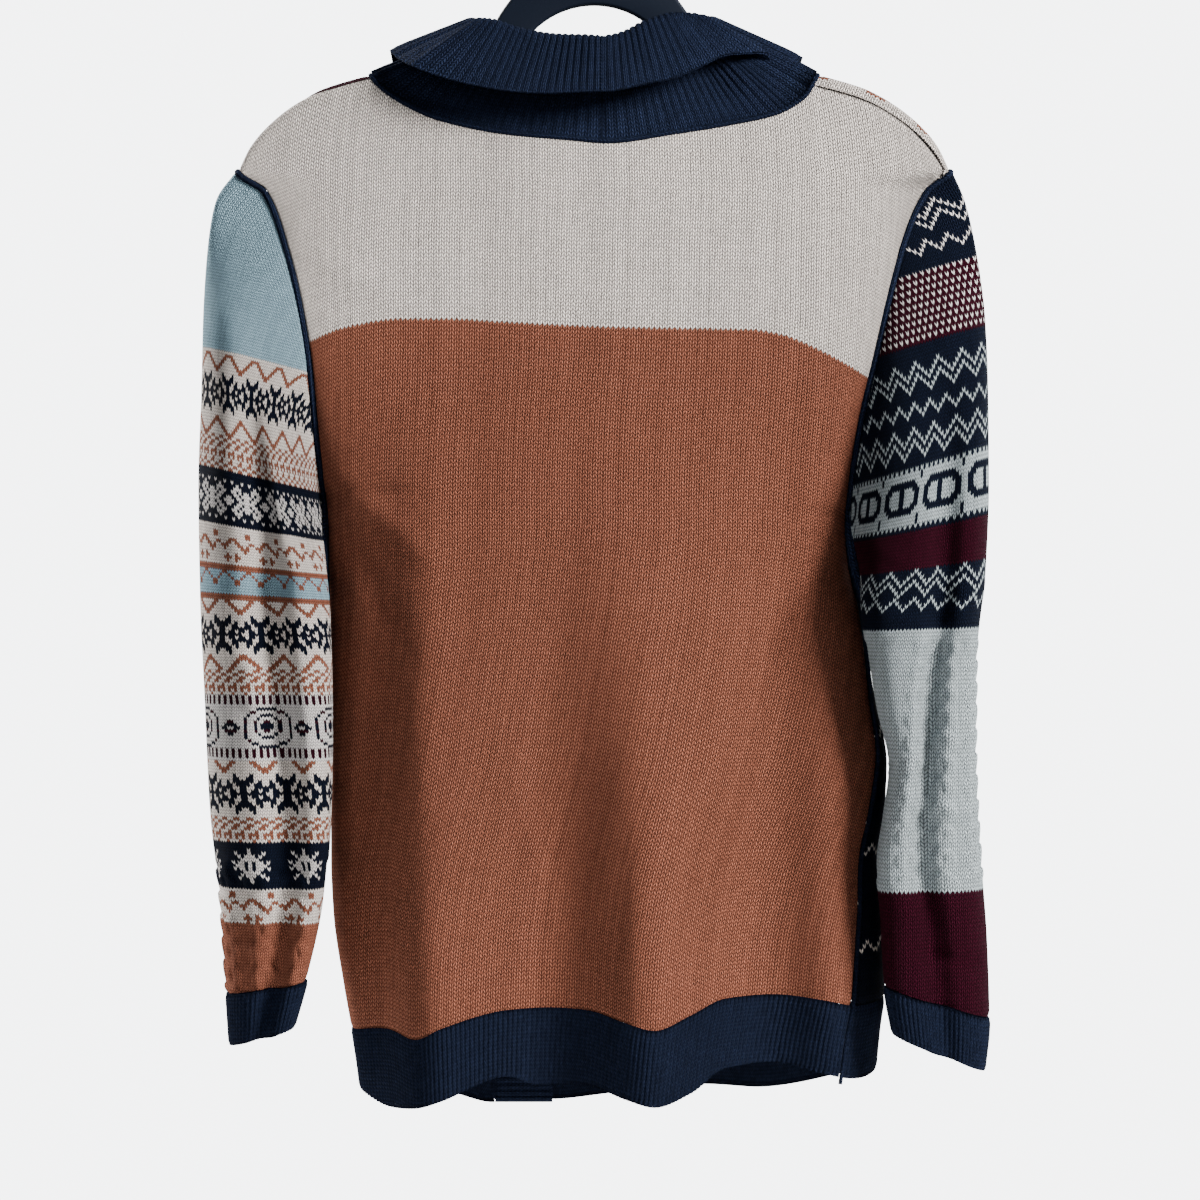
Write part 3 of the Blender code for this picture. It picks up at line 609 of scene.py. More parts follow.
# columns: x, depth
CHANGE = np.array([
    (-176, 343), (-160, 333.4), (-141, 323.8), (-120, 315.5), (-100, 312.3), (-68, 311.7), (-4, 310.4),
    (60, 307.2), (92, 305.3), (124, 305.3), (159, 310.4), (186, 321),
])
# columns: x 1, depth 1, x 2, depth 2, width, height
BACK_CREASES = (
    (172, 400, 96, 470, 9, 1.6),
    (168, 430, 110, 540, 8, -1.3),
    (-160, 400, -98, 455, 9, 1.5),
    (-158, 440, -110, 530, 8, -1.2),
    (198, 250, 120, 300, 11, 1.4),
    (-196, 262, -110, 318, 11, 1.4),
    (60, 560, 20, 720, 9, 1.0),
    (-70, 590, -58, 745, 10, -1.2),
    (128, 600, 120, 745, 8, 1.3),
    (-20, 620, -12, 750, 7, -0.9),
)
SLEEVE_CREASES = {
    1: (
        (182, 440, 240, 470, 6, 1.8),
        (186, 470, 236, 492, 6, -1.8),
        (250, 500, 200, 548, 7, 2.0),
        (246, 540, 196, 580, 6, -1.6),
        (190, 590, 244, 612, 6, 1.6),
        (240, 650, 190, 672, 5, 1.6),
        (192, 690, 238, 706, 5, -1.5),
        (240, 290, 206, 380, 9, 1.4),
    ),
    -1: (
        (176, 452, 240, 480, 6, 1.8),
        (182, 486, 240, 505, 6, -1.6),
        (252, 470, 206, 520, 7, 1.8),
        (246, 560, 196, 598, 7, 2.0),
        (190, 606, 246, 628, 6, 1.8),
        (250, 660, 192, 690, 6, 1.8),
        (196, 706, 252, 724, 5, -1.6),
        (242, 280, 204, 370, 9, 1.4),
    ),
}
FRONT_CREASES = (
    (150, 430, 70, 520, 9, 1.4),
    (-150, 440, -80, 540, 9, 1.4),
    (130, 560, 90, 730, 9, 1.2),
    (-60, 480, -30, 720, 10, -1.2),
)

# --- stage ---
FLOOR_Z = -1.02
CAMERA_PLACE = (-0.00384, 2.03, -0.4864)
CAMERA_LENS = 93.75
WORLD_LIGHT = 0.2
WORLD_SEEN = 6.0
FLOOR_RADIUS = 0.72
LIGHTS = (
    ("key", (-2.3, 1.25, 0.9), 0.9, 1.0, (1.0, 0.98, 0.95)),
    ("fill", (1.7, 2.0, 0.6), 1.8, 0.07, (0.95, 0.98, 1.0)),
    ("front_key", (2.2, -1.4, 0.9), 1.0, 0.9, (1.0, 0.98, 0.95)),
    ("front_fill", (-1.9, -1.9, 0.3), 1.8, 0.22, (0.95, 0.98, 1.0)),
)


# --- yarns ---

CREAM = (0.93, 0.84, 0.78)
RUST = (0.305, 0.108, 0.067)
NAVY = (0.0048, 0.0078, 0.019)
BURGUNDY = (0.032, 0.0028, 0.010)
LIGHT_BLUE = (0.34, 0.52, 0.63)
ICE_GREY = (0.46, 0.53, 0.56)
BONE = (0.82, 0.78, 0.77)
RIB_NAVY = (0.0125, 0.019, 0.044)
HANGER_NAVY = (0.0022, 0.0045, 0.011)

# --- charts, worked from the top row down. A dot is the ground, a mark the second colour ---
CHEVRONS = ("##........##", ".##......##.", "..##....##..", "...##..##...", "....####....", ".....##.....")
LEAF = (
    "..#......#..", ".##......##.", "###.#..#.###", "##.##..##.##", "#..######..#", "#.##.##.##.#",
    "######..####",
    "#.##.##.##.#", "#..######..#", "##.##..##.##", "###.#..#.###", ".##......##.", "..#......#..",
)
TENTS = (".....##.....", "....####....", "...##..##...", "..##....##..", ".##......##.", "##........##")
SPECKLE = ("#..#", ".##.", "#..#", "..##", ".#..", "##.#", ".#.#", "#...")
SNOWFLAKE = (
    "..............", ".#...#..#...#.", "...#......#...", "..###....###..", ".##.#.##.#.##.",
    "..##.####.##..", "#..##.##.##..#", "##..######..##", "#..##.##.##..#", "..##.####.##..",
    ".##.#.##.#.##.", "..###....###..", "...#......#...", ".#...#..#...#.", "..............",
    "..............",
)
WAVE = (
    "....##......", "....##......", "#.........##", "##...##..##.", ".##.#..###..", "..###...#...",
    "...#........", "#........#..", "##......###.", "#........#..",
)
LINE = ("#", "#")
ZIGZAG = ("...##...", "..#..#..", ".#....#.", "#......#", "#......#", "........", "........")
MEDALLION = (
    "#.#.#.#.#.#.#.#.#.#.#.", "#.#.#.#.#.#.#.#.#.#.#.", "#.#.#.#.#.#.#.#.#.#.#.", "......................",
    "........######........", "......##......##......", ".....#...####...#.....", "....#...#....#...#....",
    "#...#..#..##..#..#...#", "##..#..#.####.#..#..##", ".##.#..#.####.#..#.##.", "##..#..#..##..#..#..##",
    "#...#...#....#...#...#", "....#....####....#....", ".....#..........#.....", "......##......##......",
    "........######........", "......................", "#.#.#.#.#.#.#.#.#.#.#.", "#.#.#.#.#.#.#.#.#.#.#.",
    "#.#.#.#.#.#.#.#.#.#.#.", "......................",
)
STARS = (
    "................", ".......#........", "...#...#...#....", "....#.###.#.....", ".....#####......",
    "..#.##.#.##.#...", "...###.#.###....", "..#.##.#.##.#...", ".....#####......", "....#.###.#.....",
    "...#...#...#....", ".......#........", "................", "................",
)
FLECK_DOUBLE = (
    "#.......", ".#.....#", "..#...#.", "#..#.#..", ".#..#..#", "..#...#.", "...#.#..", "....#...",
)
FLECK_SINGLE = ("#.....", ".#...#", "..#.#.", "...#..")
BIRDSEYE = ("#.#.", "....", ".#.#", "....")
FRAME_BAND = (
    "#.#.#.#.#.#.#.#.", "################", "################", "###..........###", "##............##",
    "#...###..###...#", "#..####..####..#", "#..####..####..#", "#..####..####..#", "#...###..###...#",
    "##............##", "###..........###", "################", "################", "################",
    "#.#.#.#.#.#.#.#.",
)


def empty(rows, width=1):
    return ("." * width,) * rows


# ground, second colour or one for each row, chart, how far it starts to the side
LEFT_SLEEVE_BANDS = [
    (CREAM, RUST, empty(1), 0), (CREAM, RUST, CHEVRONS, 0), (CREAM, NAVY, LEAF, 0),
    (CREAM, RUST, empty(1), 0), (CREAM, RUST, TENTS, 0), (CREAM, RUST, SPECKLE + SPECKLE[:3], 0),
    (NAVY, CREAM, empty(2), 0), (NAVY, BONE, SNOWFLAKE, 5),
    (CREAM, RUST, empty(2), 0), (CREAM, RUST, WAVE, 0), (CREAM, RUST, empty(1), 0),
    (CREAM, RUST, LINE, 0), (LIGHT_BLUE, RUST, ZIGZAG + empty(1, 8), 0), (CREAM, RUST, LINE, 0),
    (CREAM, RUST, CHEVRONS[1:], 6), (CREAM, NAVY, LEAF, 6), (CREAM, RUST, TENTS[:5], 6),
    (CREAM, RUST, SPECKLE, 1), (BONE, BURGUNDY, MEDALLION[:3], 0),
    (BONE, [NAVY, NAVY, BURGUNDY], MEDALLION[3:17], 4), (BONE, BURGUNDY, MEDALLION[18:], 0),
    (CREAM, RUST, CHEVRONS[2:], 3), (CREAM, NAVY, LEAF, 3), (CREAM, RUST, empty(1), 0),
    (CREAM, RUST, SPECKLE, 2), (NAVY, CREAM, empty(1), 0), (NAVY, BONE, STARS, 3),
    (CREAM, RUST, empty(1), 0), (CREAM, RUST, WAVE, 4),
]
RIGHT_SLEEVE_BANDS = [
    (NAVY, BONE, FLECK_DOUBLE, 0), (NAVY, BONE, empty(2), 0), (NAVY, BONE, FLECK_SINGLE, 3),
    (NAVY, BONE, empty(4), 0), (BURGUNDY, BONE, BIRDSEYE * 4 + BIRDSEYE[:2], 0), (NAVY, BONE, empty(4), 0),
    (NAVY, ICE_GREY, FLECK_DOUBLE, 1), (NAVY, ICE_GREY, empty(2), 0), (NAVY, ICE_GREY, FLECK_SINGLE, 2),
    (NAVY, ICE_GREY, empty(2), 0), (NAVY, ICE_GREY, FLECK_DOUBLE, 5), (NAVY, ICE_GREY, empty(2), 0),
    (NAVY, ICE_GREY, FRAME_BAND, 0), (NAVY, BURGUNDY, empty(1), 0), (BURGUNDY, BURGUNDY, empty(11), 0),
    (NAVY, ICE_GREY, FLECK_DOUBLE, 2), (NAVY, ICE_GREY, FLECK_SINGLE, 1), (NAVY, NAVY, empty(5), 0),
]
# courses of the right sleeve and of the fronts at which a plain colour takes over
BURGUNDY_FROM = 175.5
SHOULDER_BANDS = (-6, 30.5)
NECK_STRIP = -124.0  # the wale up to which the shoulder is light blue
ZIGZAGS_FROM = 157
LEFT_RUST_FROM = 85.5


# --- node trees in short form ---


def node(tree, kind, inputs=(), **settings):
    """Adds a node. Inputs go by name or number, and each is a value or another node's socket."""
    made = tree.nodes.new(kind)
    for key, value in settings.items():
        setattr(made, key, value)
    for key, value in dict(inputs).items():
        if isinstance(value, bpy.types.NodeSocket):
            tree.links.new(value, made.inputs[key])
        else:
            made.inputs[key].default_value = value
    return made


def calc(tree, operation, *values):
    return node(tree, "ShaderNodeMath", dict(enumerate(values)), operation=operation).outputs[0]


def plus(tree, a, b):
    return calc(tree, "ADD", a, b)


def minus(tree, a, b):
    return calc(tree, "SUBTRACT", a, b)


def times(tree, a, b):
    return calc(tree, "MULTIPLY", a, b)


def above(tree, a, b):
    return calc(tree, "GREATER_THAN", a, b)


def mix_color(tree, share, a, b):
    """Colour a where share is 0, colour b where it is 1. Plain colours are tuples of three."""
    a, b = (value if isinstance(value, bpy.types.NodeSocket) else (*value, 1) for value in (a, b))
    made = node(tree, "ShaderNodeMix", {0: share, 6: a, 7: b}, data_type="RGBA")
    return made.outputs[2]


def scale_color(tree, color, amount):
    """The colour times a number."""
    made = node(tree, "ShaderNodeVectorMath", {0: color, "Scale": amount}, operation="SCALE")
    return made.outputs[0]


def new_group(name, ins, outs):
    """An empty node group with its sockets, and its two end nodes."""
    tree = bpy.data.node_groups.new(name, "ShaderNodeTree")
    for socket, kind, default in ins:
        made = tree.interface.new_socket(socket, in_out="INPUT", socket_type=kind)
        made.default_value = default
    for socket, kind in outs:
        tree.interface.new_socket(socket, in_out="OUTPUT", socket_type=kind)
    return tree, tree.nodes.new("NodeGroupInput"), tree.nodes.new("NodeGroupOutput")


def use_group(tree, group, inputs=()):
    """Adds a group. node() sets its tree before its inputs, which it has only then."""
    return node(tree, "ShaderNodeGroup", inputs, node_tree=group)


def stitch_group():
    """Stocking stitch on the piece's own UV map, which counts wales across and courses down. A stitch is a
    pair of leaning legs, so the course edge is a row of Vs: course = V - lean * (1 - |2 fract(U) - 1|)."""
    name = "knit stitches"
    if name in bpy.data.node_groups:
        return bpy.data.node_groups[name]
    tree, _, out = new_group(name, (), (
        ("Column", "NodeSocketFloat"), ("Course", "NodeSocketFloat"), ("Height", "NodeSocketFloat"),
        ("Depth", "NodeSocketFloat"),
    ))
    uv = node(tree, "ShaderNodeUVMap", uv_map="stitches").outputs[0]
    parts = node(tree, "ShaderNodeSeparateXYZ", {0: uv}).outputs
    waver = node(tree, "ShaderNodeTexNoise", {"Vector": uv, "Scale": 0.9, "Detail": 1.0}).outputs[0]
    off = times(tree, minus(tree, waver, 0.5), 0.35)
    u = plus(tree, parts[0], off)
    v = plus(tree, parts[1], off)
    across = calc(tree, "FRACT", u)
    edge = calc(tree, "ABSOLUTE", minus(tree, times(tree, across, 2.0), 1.0))
    leaned = minus(tree, v, times(tree, minus(tree, 1.0, edge), 0.85))
    along = calc(tree, "FRACT", leaned)

    def bulge(value, power):
        """1 in the middle of a leg and 0 at its two edges."""
        side = calc(tree, "ABSOLUTE", minus(tree, times(tree, value, 2.0), 1.0))
        return minus(tree, 1.0, calc(tree, "POWER", side, power))

    leg = times(tree, bulge(along, 1.7), bulge(edge, 1.9))
    height = calc(tree, "POWER", calc(tree, "MAXIMUM", leg, 0.0), 0.8)
    for key, value in (
        ("Column", calc(tree, "FLOOR", u)), ("Course", calc(tree, "FLOOR", leaned)),
        ("Height", height), ("Depth", minus(tree, 1.0, height)),
    ):
        tree.links.new(value, out.inputs[key])
    return tree


def yarn_group():
    """Colour of the yarn: each stitch a little lighter or darker, fine fibres, slow unevenness, and shade in
    the gaps between the legs. Also the height of the stitch with its fuzz."""
    name = "wool yarn"
    if name in bpy.data.node_groups:
        return bpy.data.node_groups[name]
    tree, given, out = new_group(name, (
        ("Color", "NodeSocketColor", (1, 1, 1, 1)), ("Column", "NodeSocketFloat", 0),
        ("Course", "NodeSocketFloat", 0), ("Height", "NodeSocketFloat", 1),
        ("Heather", "NodeSocketFloat", 0.12), ("Gap Shade", "NodeSocketFloat", 0.5),
    ), (("Color", "NodeSocketColor"), ("Height", "NodeSocketFloat")))
    got = given.outputs
    place = node(tree, "ShaderNodeCombineXYZ", {0: got["Column"], 1: got["Course"]}).outputs[0]
    each = node(tree, "ShaderNodeTexWhiteNoise", {"Vector": place}, noise_dimensions="2D").outputs[0]
    where = node(tree, "ShaderNodeTexCoord").outputs["Object"]
    fibre = node(tree, "ShaderNodeTexNoise", {"Vector": where, "Scale": 2600.0, "Detail": 2.0}).outputs[0]
    slow = node(tree, "ShaderNodeTexNoise", {"Vector": where, "Scale": 22.0, "Detail": 3.0}).outputs[0]
    speckle = times(tree, minus(tree, each, 0.5), got["Heather"])
    strands = times(tree, minus(tree, fibre, 0.5), 0.35)
    drift = times(tree, minus(tree, slow, 0.5), 0.16)
    lone = node(tree, "ShaderNodeTexWhiteNoise", {"W": got["Column"]}, noise_dimensions="1D").outputs[0]
    drift = plus(tree, drift, times(tree, minus(tree, lone, 0.5), 0.16))
    tone = plus(tree, plus(tree, plus(tree, speckle, strands), drift), 1.0)
    gap = times(tree, minus(tree, 1.0, got["Height"]), got["Gap Shade"])
    tone = times(tree, tone, minus(tree, 1.0, gap))
    tree.links.new(scale_color(tree, got["Color"], tone), out.inputs["Color"])
    fuzz = times(tree, minus(tree, fibre, 0.5), 0.5)
    tree.links.new(plus(tree, got["Height"], fuzz), out.inputs["Height"])
    return tree


def steps(tree, course, first, values):
    """A value for each course, counted from the first: constant colour ramps of at most 32 stops and 90
    courses, each taking over where the last one ends. Values are tuples of three."""
    result, start = None, 0
    while start < len(values):
        stops, end = [(0, values[start])], start + 1
        while end < len(values) and end - start < 90:
            if values[end] != values[end - 1]:
                if len(stops) == 30:
                    break
                stops.append((end - start, values[end]))
            end += 1
        share = calc(tree, "DIVIDE", minus(tree, course, first + start - 0.5), end - start)
        made = node(tree, "ShaderNodeValToRGB", {0: share})
        ramp = made.color_ramp
        ramp.interpolation = "CONSTANT"
        while len(ramp.elements) > 1:
            ramp.elements.remove(ramp.elements[-1])
        ramp.elements[0].position, ramp.elements[0].color = 0, (*stops[0][1], 1)
        for at, value in stops[1:]:
            ramp.elements.new(at / (end - start)).color = (*value, 1)
        if result is None:
            result = made.outputs[0]
        else:
            later = above(tree, course, first + start - 0.5)
            result = mix_color(tree, later, result, made.outputs[0])
        start = end
    return result


def charted(tree, column, course, first, bands):
    """Colour of each stitch in the bands worked from charts. A band is its ground colour, its second colour
    or one for each row, its rows of characters and how far it starts to the side. A chart's row becomes one
    number with a binary digit a stitch, in two halves of 12, and the digit at the stitch's column is read
    back: floor(number * 2 ** (column + 1)) mod 2."""
    grounds, seconds, masks = [], [], []
    for ground, second, chart, shift in bands:
        for i, row in enumerate(chart):
            row = row[shift % len(row):] + row[:shift % len(row)]
            halves = [row[:12], row[12:]]
            numbers = [sum(2.0 ** -(k + 1) for k, mark in enumerate(half) if mark != ".") for half in halves]
            masks.append((*numbers, len(row) / 32))
            grounds.append(ground[i % len(ground)] if isinstance(ground, list) else ground)
            seconds.append(second[i % len(second)] if isinstance(second, list) else second)
    mask = node(tree, "ShaderNodeSeparateColor", {0: steps(tree, course, first, masks)}).outputs
    repeat = calc(tree, "MAXIMUM", calc(tree, "ROUND", times(tree, mask[2], 32.0)), 1.0)
    place = calc(tree, "FLOORED_MODULO", plus(tree, column, 0.5), repeat)
    place = calc(tree, "FLOOR", place)
    late = above(tree, place, 11.5)
    number = plus(tree, times(tree, mask[0], minus(tree, 1.0, late)),
                  times(tree, mask[1], late))
    digit = minus(tree, place, times(tree, late, 12.0))
    power = calc(tree, "POWER", 2.0, plus(tree, digit, 1.0))
    shown = calc(tree, "FLOOR", plus(tree, times(tree, number, power), 0.0005))
    shown = calc(tree, "FLOORED_MODULO", shown, 2.0)
    ground = steps(tree, course, first, grounds)
    second = steps(tree, course, first, seconds)
    return mix_color(tree, above(tree, shown, 0.5), ground, second)


def knit_material(name, color_of, bump=1.3, heather=0.12, gap_shade=0.9):
    """A knitted finish. color_of(tree, column, course) gives its colour."""
    made = bpy.data.materials.new(name)
    made.use_nodes = True
    tree = made.node_tree
    shader = tree.nodes["Principled BSDF"]
    shader.inputs["Roughness"].default_value = 0.93
    shader.inputs["Specular IOR Level"].default_value = 0.03
    stitch = use_group(tree, stitch_group()).outputs
    color = color_of(tree, stitch["Column"], stitch["Course"])
    given = {"Column": stitch["Column"], "Course": stitch["Course"], "Height": stitch["Height"],
             "Heather": heather, "Gap Shade": gap_shade}
    given["Color"] = color if isinstance(color, bpy.types.NodeSocket) else (*color, 1)
    yarn = use_group(tree, yarn_group(), given).outputs
    lift = node(tree, "ShaderNodeBump", {"Height": yarn["Height"], "Distance": bump * MM, "Strength": 1.0})
    tree.links.new(yarn["Color"], shader.inputs["Base Color"])
    tree.links.new(lift.outputs[0], shader.inputs["Normal"])
    return made


def plain(color):
    return lambda tree, column, course: color


def banded(bands, first_color, last_color):
    """Charted bands from course 0, with one plain colour before them and another after."""

    def color_of(tree, column, course):
        inside = charted(tree, column, course, 0, bands)
        total = sum(len(band[2]) for band in bands)
        started = above(tree, course, -0.5)
        ended = above(tree, course, total - 0.5)
        return mix_color(tree, ended, mix_color(tree, started, first_color, inside), last_color)

    return color_of


# --- meshes from grids of points ---


def grid_normals(points, tube=False):
    """Unit normals of a grid, the cross product of its differences across and along. A tube's first and last
    columns are the same line."""
    across = np.gradient(points, axis=0)
    if tube:
        across[0] = across[-1] = (points[1] - points[-2]) / 2
    return unit(np.cross(across, np.gradient(points, axis=1)))


def lengths(points, axis):
    """Running length along the grid's lines from their start."""
    gaps = np.linalg.norm(np.diff(points, axis=axis), axis=-1)
    start = np.zeros_like(np.take(gaps, [0], axis=axis))
    return np.concatenate([start, np.cumsum(gaps, axis=axis)], axis=axis)


def even_steps(line, count):
    """Parameters from 0 to 1 that are the same length apart along a line. line(t) gives its points."""
    t = np.linspace(0, 1, 900)
    run = lengths(line(t), 0)
    return np.interp(np.linspace(0, run[-1], count), run, t), run[-1]


def joined_rim(fine, coarse, ratio):
    """Triangles between a line of the outer grid and the same line of the inner one, which has every
    ratio-th point. Each outer edge goes to the nearest inner point, each inner edge to the outer point
    between its ends."""
    j = np.arange(len(fine) - 1)
    nearest = coarse[(j + ratio // 2) // ratio]
    first = np.stack([fine[:-1], nearest, fine[1:]], axis=1)
    i = np.arange(len(coarse) - 1)
    second = np.stack([coarse[:-1], coarse[1:], fine[i * ratio + max(ratio // 2, 1)]], axis=1)
    return np.concatenate([first, second])


def shell(name, outer, inner, stitches, look, tube=False, ratio=2):
    """A closed wall from an outer and an inner grid of points in millimetres, the inner one used at every
    ratio-th line. stitches maps the outer grid in wales and courses. On a tube the first and last columns
    become one line of vertices, with two places on the map."""
    count, height = outer.shape[:2]
    inner, inner_map = inner[::ratio, ::ratio], stitches[::ratio, ::ratio]
    small, short = inner.shape[:2]
    near = np.arange(count * height).reshape(count, height)
    far = near.size + np.arange(small * short).reshape(small, short)
    faces = []
    for grid, turned in ((near, False), (far, True)):
        quads = [grid[:-1, :-1], grid[:-1, 1:], grid[1:, 1:], grid[1:, :-1]]
        faces.append(np.stack(quads[::-1] if turned else quads, axis=-1).reshape(-1, 4))
    rims = [(near[:, 0], far[:, 0], False), (near[:, -1], far[:, -1], True)]
    if not tube:
        rims += [(near[0], far[0], True), (near[-1], far[-1], False)]
    for fine, coarse, turned in rims:
        rim = joined_rim(fine, coarse, ratio)
        faces.append(rim[:, ::-1] if turned else rim)
    points = np.concatenate([outer.reshape(-1, 3), inner.reshape(-1, 3)]) * MM
    facing = np.sum(grid_normals(outer, tube) * (outer - inner_like(inner, outer, ratio)))
    if facing > 0:
        faces = [part[:, ::-1] for part in faces]
    corners = np.concatenate([part.ravel() for part in faces])
    uv = np.concatenate([stitches.reshape(-1, 2), inner_map.reshape(-1, 2)])[corners]
    joined = np.arange(len(points))
    if tube:
        joined[near[-1]], joined[far[-1]] = near[0], far[0]
    used, corners = np.unique(joined[corners], return_inverse=True)
    sizes = np.concatenate([np.full(len(part), part.shape[1]) for part in faces])
    return finished_mesh(name, points[used], corners, sizes, look, uv)


def inner_like(inner, outer, ratio):
    """The inner grid's points at the outer grid's places, near enough to tell in from out."""
    i = np.minimum(np.arange(outer.shape[0]) // ratio, inner.shape[0] - 1)
    j = np.minimum(np.arange(outer.shape[1]) // ratio, inner.shape[1] - 1)
    return inner[i][:, j]


def finished_mesh(name, points, corners, sizes, look, uv=None):
    """A smooth mesh object at the origin from its corners and the number of them in each face."""
    mesh = bpy.data.meshes.new(name)
    mesh.vertices.add(len(points))
    mesh.vertices.foreach_set("co", np.ascontiguousarray(points, np.float32).ravel())
    mesh.loops.add(len(corners))
    mesh.loops.foreach_set("vertex_index", corners.astype(np.int32).ravel())
    mesh.polygons.add(len(sizes))
    starts = np.concatenate([[0], np.cumsum(sizes)[:-1]]).astype(np.int32)
    mesh.polygons.foreach_set("loop_start", starts)
    mesh.update(calc_edges=True)
    mesh.validate()
    mesh.shade_smooth()
    if uv is not None:
        layer = mesh.uv_layers.new(name="stitches")
        layer.data.foreach_set("uv", np.ascontiguousarray(uv, np.float32).ravel())
    mesh.materials.append(look)
    made = bpy.data.objects.new(name, mesh)
    bpy.context.scene.collection.objects.link(made)
    return made


def point_outwards(made):
    """Makes the faces agree and point out of a closed piece."""
    shape = bmesh.new()
    shape.from_mesh(made.data)
    bmesh.ops.recalc_face_normals(shape, faces=shape.faces)
    if shape.calc_volume(signed=True) < 0:
        bmesh.ops.reverse_faces(shape, faces=shape.faces)
    shape.to_mesh(made.data)
    shape.free()


def swept(name, rings, look, lids=None, uv=None):
    """A closed piece from rings of points in millimetres. Its two ends are one face each, or the triangles
    of lids."""
    count, size = rings.shape[:2]
    i, j = (part.ravel() for part in np.meshgrid(np.arange(count - 1), np.arange(size), indexing="ij"))
    k = (j + 1) % size
    quads = np.stack([i * size + j, i * size + k, (i + 1) * size + k, (i + 1) * size + j], axis=1)
    lids = np.arange(size)[None, ::-1] if lids is None else lids
    corners = np.concatenate([quads.ravel(), lids.ravel(), (lids[:, ::-1] + (count - 1) * size).ravel()])
    sizes = np.concatenate([np.full(len(quads), 4), np.full(2 * len(lids), lids.shape[1])])
    placed = None if uv is None else uv.reshape(-1, 2)[corners]
    made = finished_mesh(name, rings.reshape(-1, 3) * MM, corners, sizes, look, placed)
    point_outwards(made)
    return made


def hang(piece, node_name):
    """The piece rides on the one body and stands for its node."""
    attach(piece, "root")
    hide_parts(node_name)


# --- relief of the cloth ---


def creases(table, x, depth):
    """Soft ridges and hollows. Each runs from one point to another, has a rounded section across, and fades
    at both ends: height * exp(-(distance / width)**2) * sin(pi * share) ** 0.7."""
    total = np.zeros(np.broadcast(x, depth).shape)
    for x_1, depth_1, x_2, depth_2, width, height in table:
        run = np.array([x_2 - x_1, depth_2 - depth_1], float)
        size = np.hypot(*run)
        share = ((x - x_1) * run[0] + (depth - depth_1) * run[1]) / size**2
        away = ((x - x_1) * run[1] - (depth - depth_1) * run[0]) / size
        faded = np.sin(math.pi * np.clip(share, 0, 1)) ** 0.7
        total = total + height * np.exp(-((away / width) ** 2)) * faded
    return total


def rounded_edge(run, total, drop=1.1, width=1.8):
    """How far the cloth turns in beside a seam, from its length along the row."""
    return -drop * (np.exp(-((run / width) ** 2)) + np.exp(-(((total - run) / width) ** 2)))


def rib_wave(ribs):
    """A broad crest and a narrow valley: 1 - |2 fract(ribs) - 1| ** 2.4."""
    return 1 - np.abs(2 * np.mod(ribs, 1) - 1) ** 2.4


def rope(across, along, half, period):
    """Two strands that cross. Each swings from side to side, x = half * sin(turn), and rises as it crosses
    over, so the one on top hides the other. The result is the higher strand's round section."""
    turn = math.pi * along / period
    result = np.zeros(np.broadcast(across, along).shape)
    for phase in (0, math.pi):
        away = (across - half * np.sin(turn + phase)) / (half * 0.95)
        lift = 0.72 + 0.28 * np.cos(turn + phase) * np.sign(np.sin(turn + phase) + 1e-9)
        result = np.maximum(result, lift * np.sqrt(np.clip(1 - away**2, 0, 1)))
    return result


def cable_relief(arc, down, ropes, spacing, half, period):
    """Ropes side by side over a lower ground of purl, from the length round the sleeve and down it."""
    k = np.round(arc / spacing)
    near = np.abs(k) <= ropes
    across = arc - k * spacing
    return np.where(near, rope(across, down + (k % 2) * period, half, period), 0.1)


# --- the cloth pieces ---


def outward(points, tube=False):
    normal = grid_normals(points, tube)
    return normal * np.sign(np.sum(normal[..., 1] * points[..., 1]))


def body_piece(name, form, grid, relief, stitches, look):
    """A body panel: the form's surface at even lengths down the cloth, with its relief along the normals."""
    columns, courses = grid
    u, v = np.meshgrid(np.linspace(0, 1, columns), np.linspace(0, 1, courses) ** (1 / 1.55), indexing="ij")
    points = panel(*form)(u, v)
    normal = outward(points)
    across, down = lengths(points, 0), lengths(points, 1)
    lift = relief(points[..., 0], -points[..., 2]) + rounded_edge(across, across[-1:])
    lift = lift + rounded_edge(down, down[:, -1:], 0.8)
    outer = points + normal * (lift - 0.5)[..., None]
    inner = points - normal * WALL
    return shell(name, outer, inner, stitches(points, across, down), look)


def back_course(x, depth):
    """Courses below the colour change, which they follow near it, while lower down they follow the rib."""
    change = curve(CHANGE[:, 0], CHANGE[:, 1], x)
    rib = curve(BACK_HEM[:, 0], BACK_HEM[:, 1], x)
    share = (depth - change) / (rib - change)
    return np.where(share > 0, share * BACK_COURSES, (depth - change) / COURSE)


def back_stitches(points, across, down):
    x, depth = points[..., 0], -points[..., 2]
    centre = across[np.argmin(np.abs(x[:, x.shape[1] // 2]))]
    return np.stack([(across - centre) / WALE, back_course(x, depth)], axis=-1)


def seam_and_shade_cord(name, line, radius, look):
    """A round overlocked seam carried along a line of points, its section a circle on two directions square
    to the line, with a ripple for its stitches: radius * (1 + 0.12 sin(length)). It also makes the dark
    cord of painted shade in the gap below each arm."""
    ahead = unit(np.gradient(line, axis=0))
    side_way = unit(np.cross(ahead, np.array([0.31, 0.22, 0.92])))
    up_way = np.cross(ahead, side_way)
    turn = np.linspace(0, 2 * math.pi, 8, endpoint=False)
    run = lengths(line, 0)
    size = (radius * (1 + 0.12 * np.sin(run * 2.6)))[:, None, None]
    rings = line[:, None] + size * (side_way[:, None] * np.cos(turn)[None, :, None]
                                    + up_way[:, None] * np.sin(turn)[None, :, None])
    uv = np.stack(np.broadcast_arrays(2.0 * turn[None] / math.pi, run[:, None] / COURSE), axis=-1)
    made = swept(name, rings, look, uv=uv)
    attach(made, "root")
    return made


